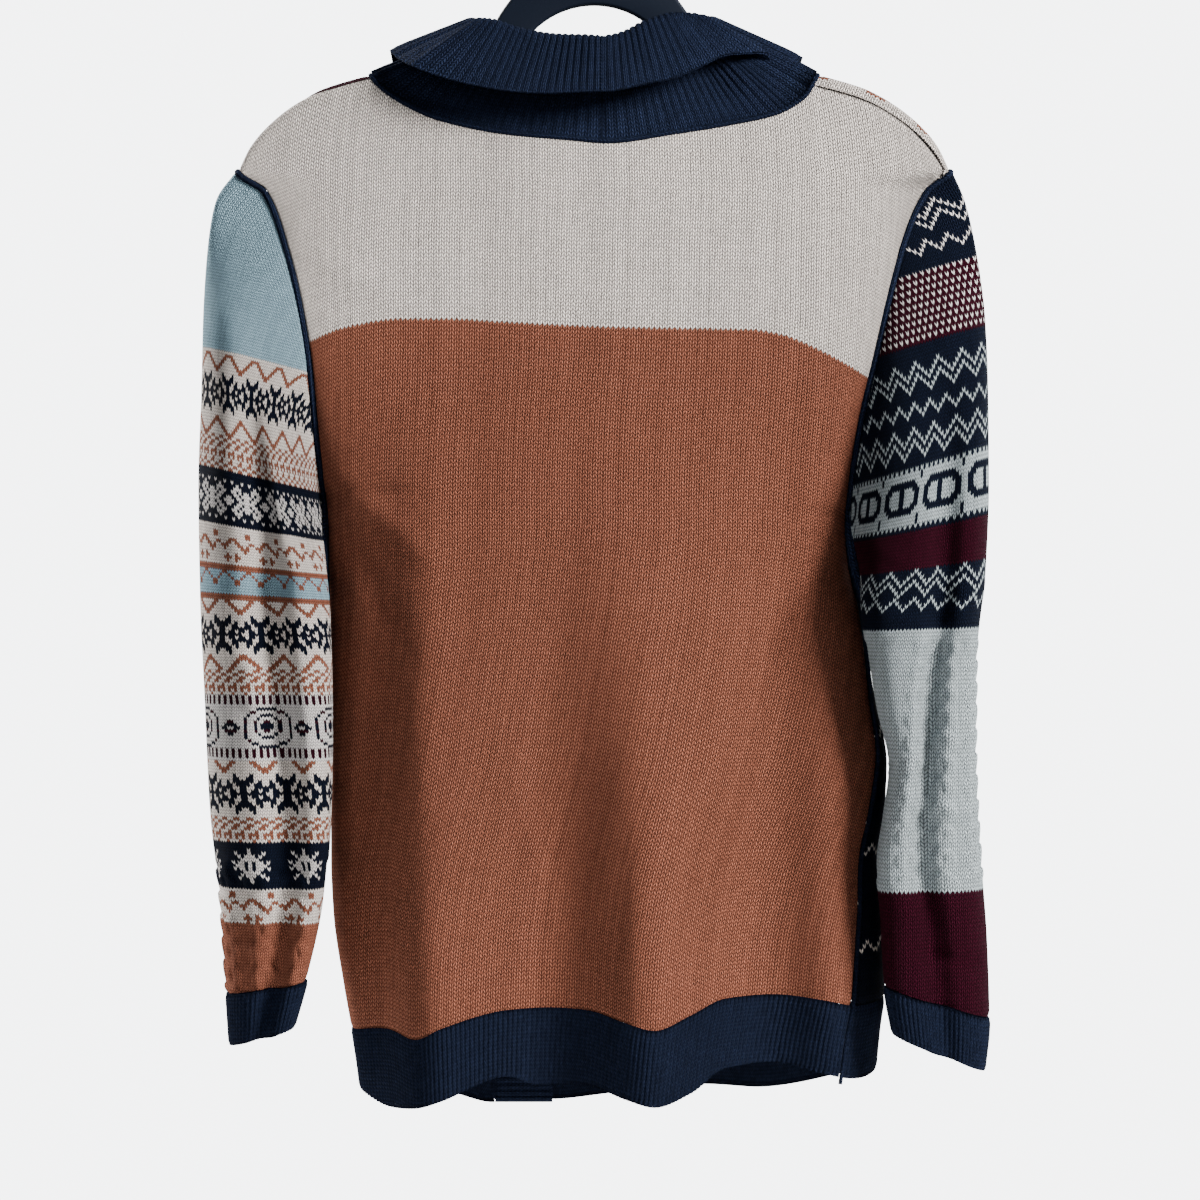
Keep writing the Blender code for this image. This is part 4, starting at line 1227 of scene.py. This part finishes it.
def front_stitches(points, across, down):
    ridge = np.argmin(np.abs(points[:, :SHOULDER_ROWS, 1]), axis=1)
    top = np.take_along_axis(down, ridge[:, None], axis=1)
    return np.stack([(across - across[-1:]) / WALE, (down - top) / COURSE], axis=-1)


def sleeve_piece(side, look):
    """A sleeve from the armhole to the cuff. Columns run round from the inner line to itself, and courses
    start level with the underarm's slope and become level lower down."""
    name = SIDES[side]
    place = sleeve(side)
    u, v = np.meshgrid(np.linspace(0.5, 1.5, SLEEVE_COLUMNS + 1),
                       np.linspace(0, CUFF_START[side] - 0.002, SLEEVE_COURSES + 1), indexing="ij")
    points = place(u, v)
    normal = outward(points, True)
    across, down = lengths(points, 0), lengths(points, 1)
    arc = across - across[SLEEVE_COLUMNS // 2]
    x, depth = side * points[..., 0], -points[..., 2]
    level = sleeve_level(side, x, depth)
    lift = looks().crease_height * creases(SLEEVE_CREASES[side], x, depth)
    lift = lift * smooth(np.abs(points[..., 1]) / 12)
    start, end = CABLES[side]
    worked = smooth((level - start) / 4) * smooth((end - level) / 4)
    cable = cable_relief(arc, level, **ROPES) * looks().cable_height - ROPE_FLOOR
    lift = lift + worked * cable + rounded_edge(down, down[:, -1:], 1.0)
    outer = points + normal * (lift - 0.6)[..., None]
    inner = points - normal * WALL
    course = (level - BANDS_START[side]) / SLEEVE_COURSE[side]
    stitches = np.stack([arc / SLEEVE_WALE[side], course], axis=-1)
    return shell(f"{name}_sleeve", outer, inner, stitches, look, tube=True)


def sleeve_level(side, x, depth):
    """Depth of a course where it crosses the outer line: depth - tilt * fade * (outer x - x)."""
    fade = 1 - smooth((depth - 400) / 130)
    return depth - COURSE_TILT[side] * fade * (255 - x)


def rib_piece(name, place, count, pitch, look, tube=False, start=0.0, height=0.9, rows_down=13, crown=0.0):
    """A rib: its ridges run down the piece, count samples each, over a form with parameters u and v."""
    line_u, total = even_steps(lambda t: place(start + t, np.full_like(t, 0.5)), 2)
    ribs = int(round(total / pitch))
    line_u, _ = even_steps(lambda t: place(start + t, np.full_like(t, 0.5)), ribs * count + 1)
    u, v = np.meshgrid(start + line_u, np.linspace(0, 1, rows_down), indexing="ij")
    points = place(u, v)
    normal = outward(points, tube)
    wave = rib_wave(np.arange(ribs * count + 1) / count)[:, None]
    down = lengths(points, 1)
    share = down / down[:, -1:]
    lift = height * (wave - 1) + rounded_edge(down, down[:, -1:], 0.7, 1.5) + crown * np.sin(math.pi * share)
    outer = points + normal * lift[..., None]
    inner = points - normal * (2.6 - 0.4 * wave)[..., None]
    wale = 2 * np.arange(ribs * count + 1)[:, None] / count - 0.5
    stitches = np.stack(np.broadcast_arrays(wale, down / COURSE), axis=-1)
    return shell(name, outer, inner, stitches, look, tube=tube, ratio=1)


def collar_piece(side, look):
    """Half the shawl collar with its band: ribs across the strip, at even lengths along its middle."""
    strip = collar(side)
    along, total = even_steps(lambda t: strip(np.full_like(t, ROLL_TO), 3 * t), 2)
    ribs = int(round(total / COLLAR_PITCH))
    along, _ = even_steps(lambda t: strip(np.full_like(t, ROLL_TO), 3 * t), ribs * 6 + 1)
    roll = np.linspace(ROLL_FROM, ROLL_TO, 9)
    across = np.concatenate([np.linspace(0, 0.34, 7), roll, np.linspace(0.67, 0.97, 7), [0.985, 1.0]])
    a, b = np.meshgrid(3 * along, across, indexing="ij")
    points = strip(b, a)
    normal = grid_normals(points)
    wave = rib_wave(np.arange(ribs * 6 + 1) / 6)[:, None]
    edge = 1 - 0.55 * smooth((b - 0.95) / 0.05) - 0.3 * smooth((0.05 - b) / 0.05)
    ends = np.minimum(np.arange(ribs * 6 + 1), np.arange(ribs * 6 + 1)[::-1])[:, None]
    edge = edge * (1 - 0.5 * np.exp(-((ends / 2.0) ** 2)))
    front = (1.0 + 0.95 * wave) * edge
    behind = (1.0 + 0.95 * rib_wave(np.arange(ribs * 6 + 1) / 6 + 0.5)[:, None]) * edge
    outer = points + normal * front[..., None]
    inner = points - normal * behind[..., None]
    stitches = np.stack([np.broadcast_to(2 * np.arange(ribs * 6 + 1)[:, None] / 6, b.shape) - 0.5,
                         lengths(points, 1) / COURSE], axis=-1)
    return shell(f"{SIDES[side]}_collar", outer, inner, stitches, look, ratio=1)


# --- hanger, hook and buttons ---


def carried(name, profile, path, look):
    """A profile of (sideways, upright) points carried along a path in the hanger's plane. Each ring lies
    across the path's direction."""
    ahead = unit(np.gradient(path, axis=0))
    sideways = point(ahead[:, 2], 0 * ahead[:, 0], -ahead[:, 0])
    upright = np.array([0, 1, 0])
    rings = path[:, None] + sideways[:, None] * profile[None, :, :1] + upright * profile[None, :, 1:]
    return swept(name, rings, look)


def circle(radius, count):
    turn = np.linspace(0, 2 * math.pi, count, endpoint=False)
    return np.stack([radius * np.cos(turn), radius * np.sin(turn)], axis=1)


def hook_piece(look):
    """The wire: a straight stem and three quarters of a circle, a round section carried along them."""
    radius, centre = HOOK_INSIDE_RADIUS + HOOK_WIRE / 2, -HOOK_INSIDE_RADIUS
    turn = np.radians(np.linspace(-98, -360 + HOOK_TIP_DEGREES, 120))
    stem = point(np.zeros(12), 0, np.linspace(-HANGER_CROWN[0][1] + 0.4, centre - radius - 5, 12))
    bend = point(radius * np.cos(turn), 0, centre + radius * np.sin(turn))
    path = np.concatenate([stem, bend])
    return carried("wire_hook", circle(HOOK_WIRE / 2, 20), path, look)


def hanger_outline():
    """The outline of the hanger as a closed line."""
    x = np.concatenate([np.linspace(0, 60, 16), np.linspace(62, 220, 60)])
    crown = np.array(HANGER_CROWN + tuple((row[0], row[1]) for row in ARM))
    top = np.stack([x, curve(crown[:, 0], crown[:, 1], x)], axis=1)
    foot_x = np.linspace(220, 60, 60)
    foot = np.stack([foot_x, curve(ARM[:, 0], ARM[:, 2], foot_x)], axis=1)
    turn = np.radians(np.linspace(24, 90, 24))
    arch = np.stack([ARCH_RADIUS * np.cos(turn), ARCH_DEPTH - ARCH_RADIUS * np.sin(turn)], axis=1)
    half = np.concatenate([top, foot[:-1], arch])
    mirrored = half[::-1][1:-1] * np.array([-1, 1])
    return np.concatenate([half, mirrored])


def hanger_piece(look):
    """A flat body with rounded edges: the outline drawn in by r * (1 - cos(a)) and moved out to r * sin(a)
    on each face, and the two faces filled."""
    line = hanger_outline()
    along = np.roll(line, -1, axis=0) - np.roll(line, 1, axis=0)
    inward = unit(np.stack([-along[:, 1], along[:, 0]], axis=1))
    area = np.sum(line[:, 0] * np.roll(line[:, 1], -1) - np.roll(line[:, 0], -1) * line[:, 1])
    inward = inward * np.sign(area)
    half = HANGER_THICKNESS / 2
    bend = np.radians(np.linspace(0, 90, 6))
    drawn = np.concatenate([half * (1 - np.cos(bend))[::-1], half * (1 - np.cos(bend))]) * 0.9
    height = np.concatenate([-(half * np.sin(bend))[::-1], half * np.sin(bend)])
    drawn, height = np.delete(drawn, 6), np.delete(height, 6)
    flat = line[None] + inward[None] * drawn[:, None, None]
    rings = point(flat[..., 0], height[:, None], -flat[..., 1])
    lids = np.array(tessellate_polygon([[(*place, 0) for place in flat[0]]]))
    return swept("hanger_body", rings, look, lids)


def button_piece(number, look):
    """A round button on polar rings: a raised rim, a dished middle and four holes. Height on the face is
    rim - dish * smooth(distance from the rim) - holes, each exp(-(distance / 1.0)**6)."""
    low, high = (np.array(corner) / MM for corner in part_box(f"button_{number}"))
    centre, radius, thick = (low + high) / 2, (high[0] - low[0]) / 2, high[1] - low[1]
    turn = np.linspace(0, 2 * math.pi, 44, endpoint=False)
    rim = 0.9 + 0.1 * np.sin(np.radians(np.linspace(10, 90, 7)))
    share = np.concatenate([np.linspace(0.02, 0.9, 30), rim])
    r, a = np.meshgrid(share * radius, turn, indexing="ij")
    x, z = r * np.cos(a), r * np.sin(a)
    edge = thick / 2 * np.sqrt(np.clip(1 - np.clip((share - 0.9) / 0.1, 0, 1) ** 2, 0, 1))[:, None] + 0 * a
    face = edge
    face = face - 0.9 * smooth((0.74 * radius - r) / 1.6)
    for hole_x in (-1.8, 1.8):
        for hole_z in (-1.8, 1.8):
            face = face - 2.0 * np.exp(-((np.hypot(x - hole_x, z - hole_z) / 0.95) ** 6))
    front_points = point(centre[0] + x, centre[1] - face, centre[2] + z)
    back_points = point(centre[0] + x, centre[1] + edge, centre[2] + z)[::-1][1:]
    rings = np.concatenate([front_points, back_points])
    return swept(f"sewn_button_{number}", rings, look)


# --- finishes ---


def back_look():
    def color_of(tree, column, course):
        return mix_color(tree, above(tree, course, -0.5), CREAM, RUST)

    return knit_material("back_knit", color_of, heather=0.16)


def left_front_look():
    def color_of(tree, column, course):
        return mix_color(tree, above(tree, course, LEFT_RUST_FROM), BURGUNDY, RUST)

    return knit_material("left_front_knit", color_of, heather=0.22)


def right_front_look():
    """Cream with rust bands at the shoulder, light blue beside the neck, then navy with fine zigzags."""
    bands = [(CREAM, RUST, empty(3), 0), (CREAM, RUST, CHEVRONS, 0), (CREAM, RUST, empty(3), 0),
             (CREAM, RUST, TENTS, 0), (CREAM, RUST, empty(4), 0), (CREAM, RUST, WAVE, 0),
             (CREAM, RUST, empty(6), 0), (CREAM, RUST, SPECKLE, 0), (CREAM, RUST, empty(8), 0)]
    lower = []
    for start in range(3):
        lower += [(NAVY, CREAM, ("..#..", ".#.#.", "#...#"), 0), (NAVY, CREAM, empty(28 - 6 * start), 0)]

    def color_of(tree, column, course):
        top = charted(tree, column, course, SHOULDER_BANDS[0], bands)
        top = mix_color(tree, calc(tree, "LESS_THAN", column, NECK_STRIP), top, LIGHT_BLUE)
        low = charted(tree, column, course, ZIGZAGS_FROM, lower)
        low = mix_color(tree, above(tree, course, ZIGZAGS_FROM - 0.5), NAVY, low)
        return mix_color(tree, above(tree, course, SHOULDER_BANDS[1]), top, low)

    return knit_material("right_front_knit", color_of, heather=0.2)


def sleeve_look(side):
    if side == 1:
        color_of = banded(LEFT_SLEEVE_BANDS, LIGHT_BLUE, RUST)
    else:
        def color_of(tree, column, course):
            inside = banded(RIGHT_SLEEVE_BANDS, NAVY, ICE_GREY)(tree, column, course)
            return mix_color(tree, above(tree, course, BURGUNDY_FROM), inside, BURGUNDY)

    return knit_material(f"{SIDES[side]}_sleeve_knit", color_of, bump=1.1, heather=0.14)


def rib_look():
    name = "navy_rib_knit"
    return bpy.data.materials.get(name) or knit_material(name, plain(RIB_NAVY), heather=0.3, gap_shade=0.75)


def smooth_look(name, color, roughness, metallic=0.0, scale=900.0, amount=0.3, coat=0.0):
    """Moulded plastic or drawn wire: fine unevenness in the gloss and the surface."""
    made = bpy.data.materials.get(name) or bpy.data.materials.new(name)
    made.use_nodes = True
    tree = made.node_tree
    shader = tree.nodes["Principled BSDF"]
    where = node(tree, "ShaderNodeTexCoord").outputs["Object"]
    grain = node(tree, "ShaderNodeTexNoise", {"Vector": where, "Scale": scale, "Detail": 3.0}).outputs[0]
    worn = node(tree, "ShaderNodeTexNoise", {"Vector": where, "Scale": 30.0, "Detail": 2.0}).outputs[0]
    tone = plus(tree, 0.85, times(tree, grain, amount))
    tree.links.new(scale_color(tree, color, tone), shader.inputs["Base Color"])
    gloss = plus(tree, roughness - 0.08, times(tree, worn, 0.16))
    tree.links.new(gloss, shader.inputs["Roughness"])
    shader.inputs["Metallic"].default_value = metallic
    shader.inputs["Specular IOR Level"].default_value = 0.5 if metallic or coat else 0.1
    shader.inputs["Coat Weight"].default_value = coat
    lift = node(tree, "ShaderNodeBump", {"Height": grain, "Distance": 0.15 * MM, "Strength": 0.5})
    tree.links.new(lift.outputs[0], shader.inputs["Normal"])
    return made


# --- settings ---


class CardiganLooks(bpy.types.PropertyGroup):
    """Sizes and colours that a user may change."""

    crease_height: bpy.props.FloatProperty(
        name="Crease Height", description="How strongly the soft creases stand out, 1 is as modelled",
        default=1.0, min=0.0, max=2.0)
    cable_height: bpy.props.FloatProperty(
        name="Cable Height", description="Height of the crossing ropes on the lower sleeves, in millimetres",
        default=2.4, min=0.0, max=5.0)
    light_power: bpy.props.FloatProperty(
        name="Key Light", description="Power of the soft key light", default=360.0, min=0.0, unit="POWER")
    floor_color: bpy.props.FloatVectorProperty(
        name="Floor", description="Colour of the pale floor", default=(0.86, 0.86, 0.85), subtype="COLOR",
        min=0.0, max=1.0)


def looks():
    return bpy.context.scene.cardigan_looks


# --- operators ---


class CARDIGAN_OT_back(bpy.types.Operator):
    """Makes the back panel with its cream yoke, and the back rib"""

    bl_idname = "cardigan.back"
    bl_label = "Back"

    def execute(self, context):
        def relief(x, depth):
            return looks().crease_height * creases(BACK_CREASES, x, depth)

        form = (back_loop, back_top, False)
        back = body_piece("back_panel", form, BACK_GRID, relief, back_stitches, back_look())
        hang(back, "back")
        rib = rib_piece("back_rib", hem(back_loop), 6, HEM_PITCH, rib_look())
        hang(rib, "hem_back")
        return {"FINISHED"}


class CARDIGAN_OT_fronts(bpy.types.Operator):
    """Makes the two front panels and their ribs"""

    bl_idname = "cardigan.fronts"
    bl_label = "Fronts"

    def execute(self, context):
        tops = {1: left_front_top, -1: right_front_top}
        for side, make_look in ((1, left_front_look), (-1, right_front_look)):
            top, look = tops[side], make_look()
            loop_at = functools.partial(front_loop, side)
            name = SIDES[side]

            def relief(x, depth):
                return looks().crease_height * creases(FRONT_CREASES, x, depth)

            form = (loop_at, top, side == -1)
            made = body_piece(f"{name}_front_panel", form, FRONT_GRID, relief, front_stitches, look)
            hang(made, f"front_{name}")
            rib = rib_piece(f"{name}_front_rib", hem(loop_at, side == -1), 6, HEM_PITCH, rib_look())
            hang(rib, f"hem_{name}")
        return {"FINISHED"}


class CARDIGAN_OT_sleeves(bpy.types.Operator):
    """Makes the banded sleeves with their cable knit, and the cuffs"""

    bl_idname = "cardigan.sleeves"
    bl_label = "Sleeves"

    def execute(self, context):
        for side, name in SIDES.items():
            made = sleeve_piece(side, sleeve_look(side))
            hang(made, f"sleeve_{name}")
            tube = sleeve(side)
            split = CUFF_START[side]

            def place(u, v, tube=tube, split=split):
                return tube(u, split + (1 - split) * v)

            cuff = rib_piece(f"{name}_cuff_rib", place, 6, HEM_PITCH, rib_look(), tube=True, start=0.5)
            hang(cuff, f"cuff_{name}")
        return {"FINISHED"}


class CARDIGAN_OT_collar(bpy.types.Operator):
    """Makes the two halves of the ribbed shawl collar with their front bands"""

    bl_idname = "cardigan.collar"
    bl_label = "Collar"

    def execute(self, context):
        for side, name in SIDES.items():
            made = collar_piece(side, rib_look())
            hang(made, f"collar_{name}")
        return {"FINISHED"}


class CARDIGAN_OT_seams(bpy.types.Operator):
    """Makes the overlocked seams that close the armholes, the neck and the side seams"""

    bl_idname = "cardigan.seams"
    bl_label = "Seams"

    def execute(self, context):
        t = np.linspace(0, 1, 420)
        for side, name in SIDES.items():
            ring = sleeve(side)(t, np.zeros_like(t))
            body_side = ring - point(side * SLEEVE_GAP / 2, 0, 0)
            centre = body_side.mean(axis=0)
            inset = unit(centre - body_side) * 1.7
            seam_and_shade_cord(f"{name}_armhole_seam", body_side + inset, SEAM_AND_SHADE_RADII["armhole"], rib_look())
            # below the underarm, a dark cord of painted shade in the gap between the body's edge and the
            # sleeve, not a seam
            depth = np.linspace(UNDERARM_DEPTH[side] - 14, SHADE_CORD_FOOT[side], 160)
            edge = curve(EDGES[:, 0], EDGES[:, 1 if side == 1 else 2], depth)
            fold = point(edge + side * 2.0, 0, -depth)
            seam_and_shade_cord(f"{name}_underarm_shade_cord", fold, SEAM_AND_SHADE_RADII["underarm"], rib_look())
            depth = np.linspace(UNDERARM_DEPTH[side] + 6, SIDE_SEAM_FOOT, 300)
            line = body_point(seam_loop(side, depth), depth)
            seam_and_shade_cord(f"{name}_side_seam", drawn_in(line, 2.2), SEAM_AND_SHADE_RADII["side"], rib_look())
        x = np.linspace(-NECK_X + 1, NECK_X - 1, 400)
        neck_depth = curve(NECK[:, 0], NECK[:, 1], x)
        neck = body_point(np.arccos(x / SHOULDER_X) / math.pi, neck_depth)
        seam_and_shade_cord("neck_seam", neck + point(0 * x, -1.6, 0.5), SEAM_AND_SHADE_RADII["neck"], rib_look())
        strips = [collar(side) for side in SIDES]
        line = sum(strip(t, np.zeros_like(t)) for strip in strips) / 2
        seam_and_shade_cord("collar_seam", line[1:-1], SEAM_AND_SHADE_RADII["collar"], rib_look())
        return {"FINISHED"}


def drawn_in(line, depth):
    """The line moved in towards the garment's middle plane, so that a seam lies in the wall."""
    return line - point(np.zeros(len(line)), np.sign(line[:, 1]) * depth * (np.abs(line[:, 1]) > 6), 0)


class CARDIGAN_OT_hanger(bpy.types.Operator):
    """Makes the flat hanger with rounded edges, and its wire hook"""

    bl_idname = "cardigan.hanger"
    bl_label = "Hanger"

    def execute(self, context):
        hang(hanger_piece(smooth_look("hanger_finish", HANGER_NAVY, 0.62)), "hanger")
        wire = smooth_look("hook_wire", (0.56, 0.56, 0.57), 0.22, 1.0, 1500.0, 0.1)
        hang(hook_piece(wire), "hook")
        return {"FINISHED"}


class CARDIGAN_OT_buttons(bpy.types.Operator):
    """Makes the buttons on the overlapping band"""

    bl_idname = "cardigan.buttons"
    bl_label = "Buttons"

    def execute(self, context):
        look = smooth_look("button_plastic", (0.018, 0.021, 0.034), 0.34, 0.0, 400.0, 0.5)
        for number in range(1, len(BUTTON_DEPTHS) + 1):
            hang(button_piece(number, look), f"button_{number}")
        return {"FINISHED"}


class CARDIGAN_OT_stage(bpy.types.Operator):
    """Makes the pale floor, the soft lights and the camera"""

    bl_idname = "cardigan.stage"
    bl_label = "Stage"

    def execute(self, context):
        scene = context.scene
        turn = np.linspace(0, 2 * math.pi, 96, endpoint=False)
        rim = point(FLOOR_RADIUS * np.cos(turn), FLOOR_RADIUS * np.sin(turn), FLOOR_Z)
        look = bpy.data.materials.new("pale_floor")
        look.use_nodes = True
        tree = look.node_tree
        shader = tree.nodes["Principled BSDF"]
        shader.inputs["Roughness"].default_value = 0.95
        where = node(tree, "ShaderNodeTexCoord").outputs["Object"]
        grain = node(tree, "ShaderNodeTexNoise", {"Vector": where, "Scale": 60.0, "Detail": 4.0}).outputs[0]
        tone = plus(tree, 0.985, times(tree, grain, 0.03))
        color = tuple(looks().floor_color)
        tree.links.new(scale_color(tree, color, tone), shader.inputs["Base Color"])
        floor = finished_mesh("floor", rim, np.arange(96), np.array([96]), look)
        world = bpy.data.worlds.new("studio")
        world.use_nodes = True
        sky = world.node_tree
        seen = node(sky, "ShaderNodeLightPath").outputs["Is Camera Ray"]
        strength = plus(sky, WORLD_LIGHT, times(sky, seen, WORLD_SEEN - WORLD_LIGHT))
        sky.links.new(strength, sky.nodes["Background"].inputs["Strength"])
        sky.nodes["Background"].inputs["Color"].default_value = (0.96, 0.98, 1.0, 1)
        scene.world = world
        for name, place, size, share, tint in LIGHTS:
            lamp = bpy.data.lights.new(name, "AREA")
            lamp.energy = looks().light_power * share
            lamp.shape, lamp.size, lamp.size_y, lamp.color = "RECTANGLE", size, size, tint
            made = bpy.data.objects.new(name, lamp)
            made.location = place
            made.rotation_euler = (Vector((0, 0, -0.45)) - Vector(place)).to_track_quat("-Z", "Y").to_euler()
            scene.collection.objects.link(made)
        lens = bpy.data.cameras.new("camera")
        lens.sensor_width, lens.lens = 36.0, CAMERA_LENS
        made = bpy.data.objects.new("camera", lens)
        made.location = CAMERA_PLACE
        made.rotation_euler = (math.pi / 2, 0, math.pi)
        scene.collection.objects.link(made)
        scene.camera = made
        return {"FINISHED"}


class CARDIGAN_PT_panel(bpy.types.Panel):
    """Lists the settings and the pieces in the order they are made"""

    bl_idname = "CARDIGAN_PT_panel"
    bl_label = "Shawl collar cardigan"
    bl_space_type = "VIEW_3D"
    bl_region_type = "UI"
    bl_category = "Cardigan"

    def draw(self, context):
        for name in ("crease_height", "cable_height", "light_power", "floor_color"):
            self.layout.prop(looks(), name)
        for operator in OPERATORS:
            self.layout.operator(operator.bl_idname)


OPERATORS = (
    CARDIGAN_OT_back, CARDIGAN_OT_fronts, CARDIGAN_OT_sleeves, CARDIGAN_OT_collar, CARDIGAN_OT_seams,
    CARDIGAN_OT_hanger, CARDIGAN_OT_buttons, CARDIGAN_OT_stage,
)


def register():
    for kind in (CardiganLooks, *OPERATORS, CARDIGAN_PT_panel):
        bpy.utils.register_class(kind)
    bpy.types.Scene.cardigan_looks = bpy.props.PointerProperty(type=CardiganLooks)


def unregister():
    del bpy.types.Scene.cardigan_looks
    for kind in (CARDIGAN_PT_panel, *OPERATORS[::-1], CardiganLooks):
        bpy.utils.unregister_class(kind)


def main():
    register()
    for operator in OPERATORS:
        group, name = operator.bl_idname.split(".")
        getattr(getattr(bpy.ops, group), name)()


if __name__ == "__main__":
    main()
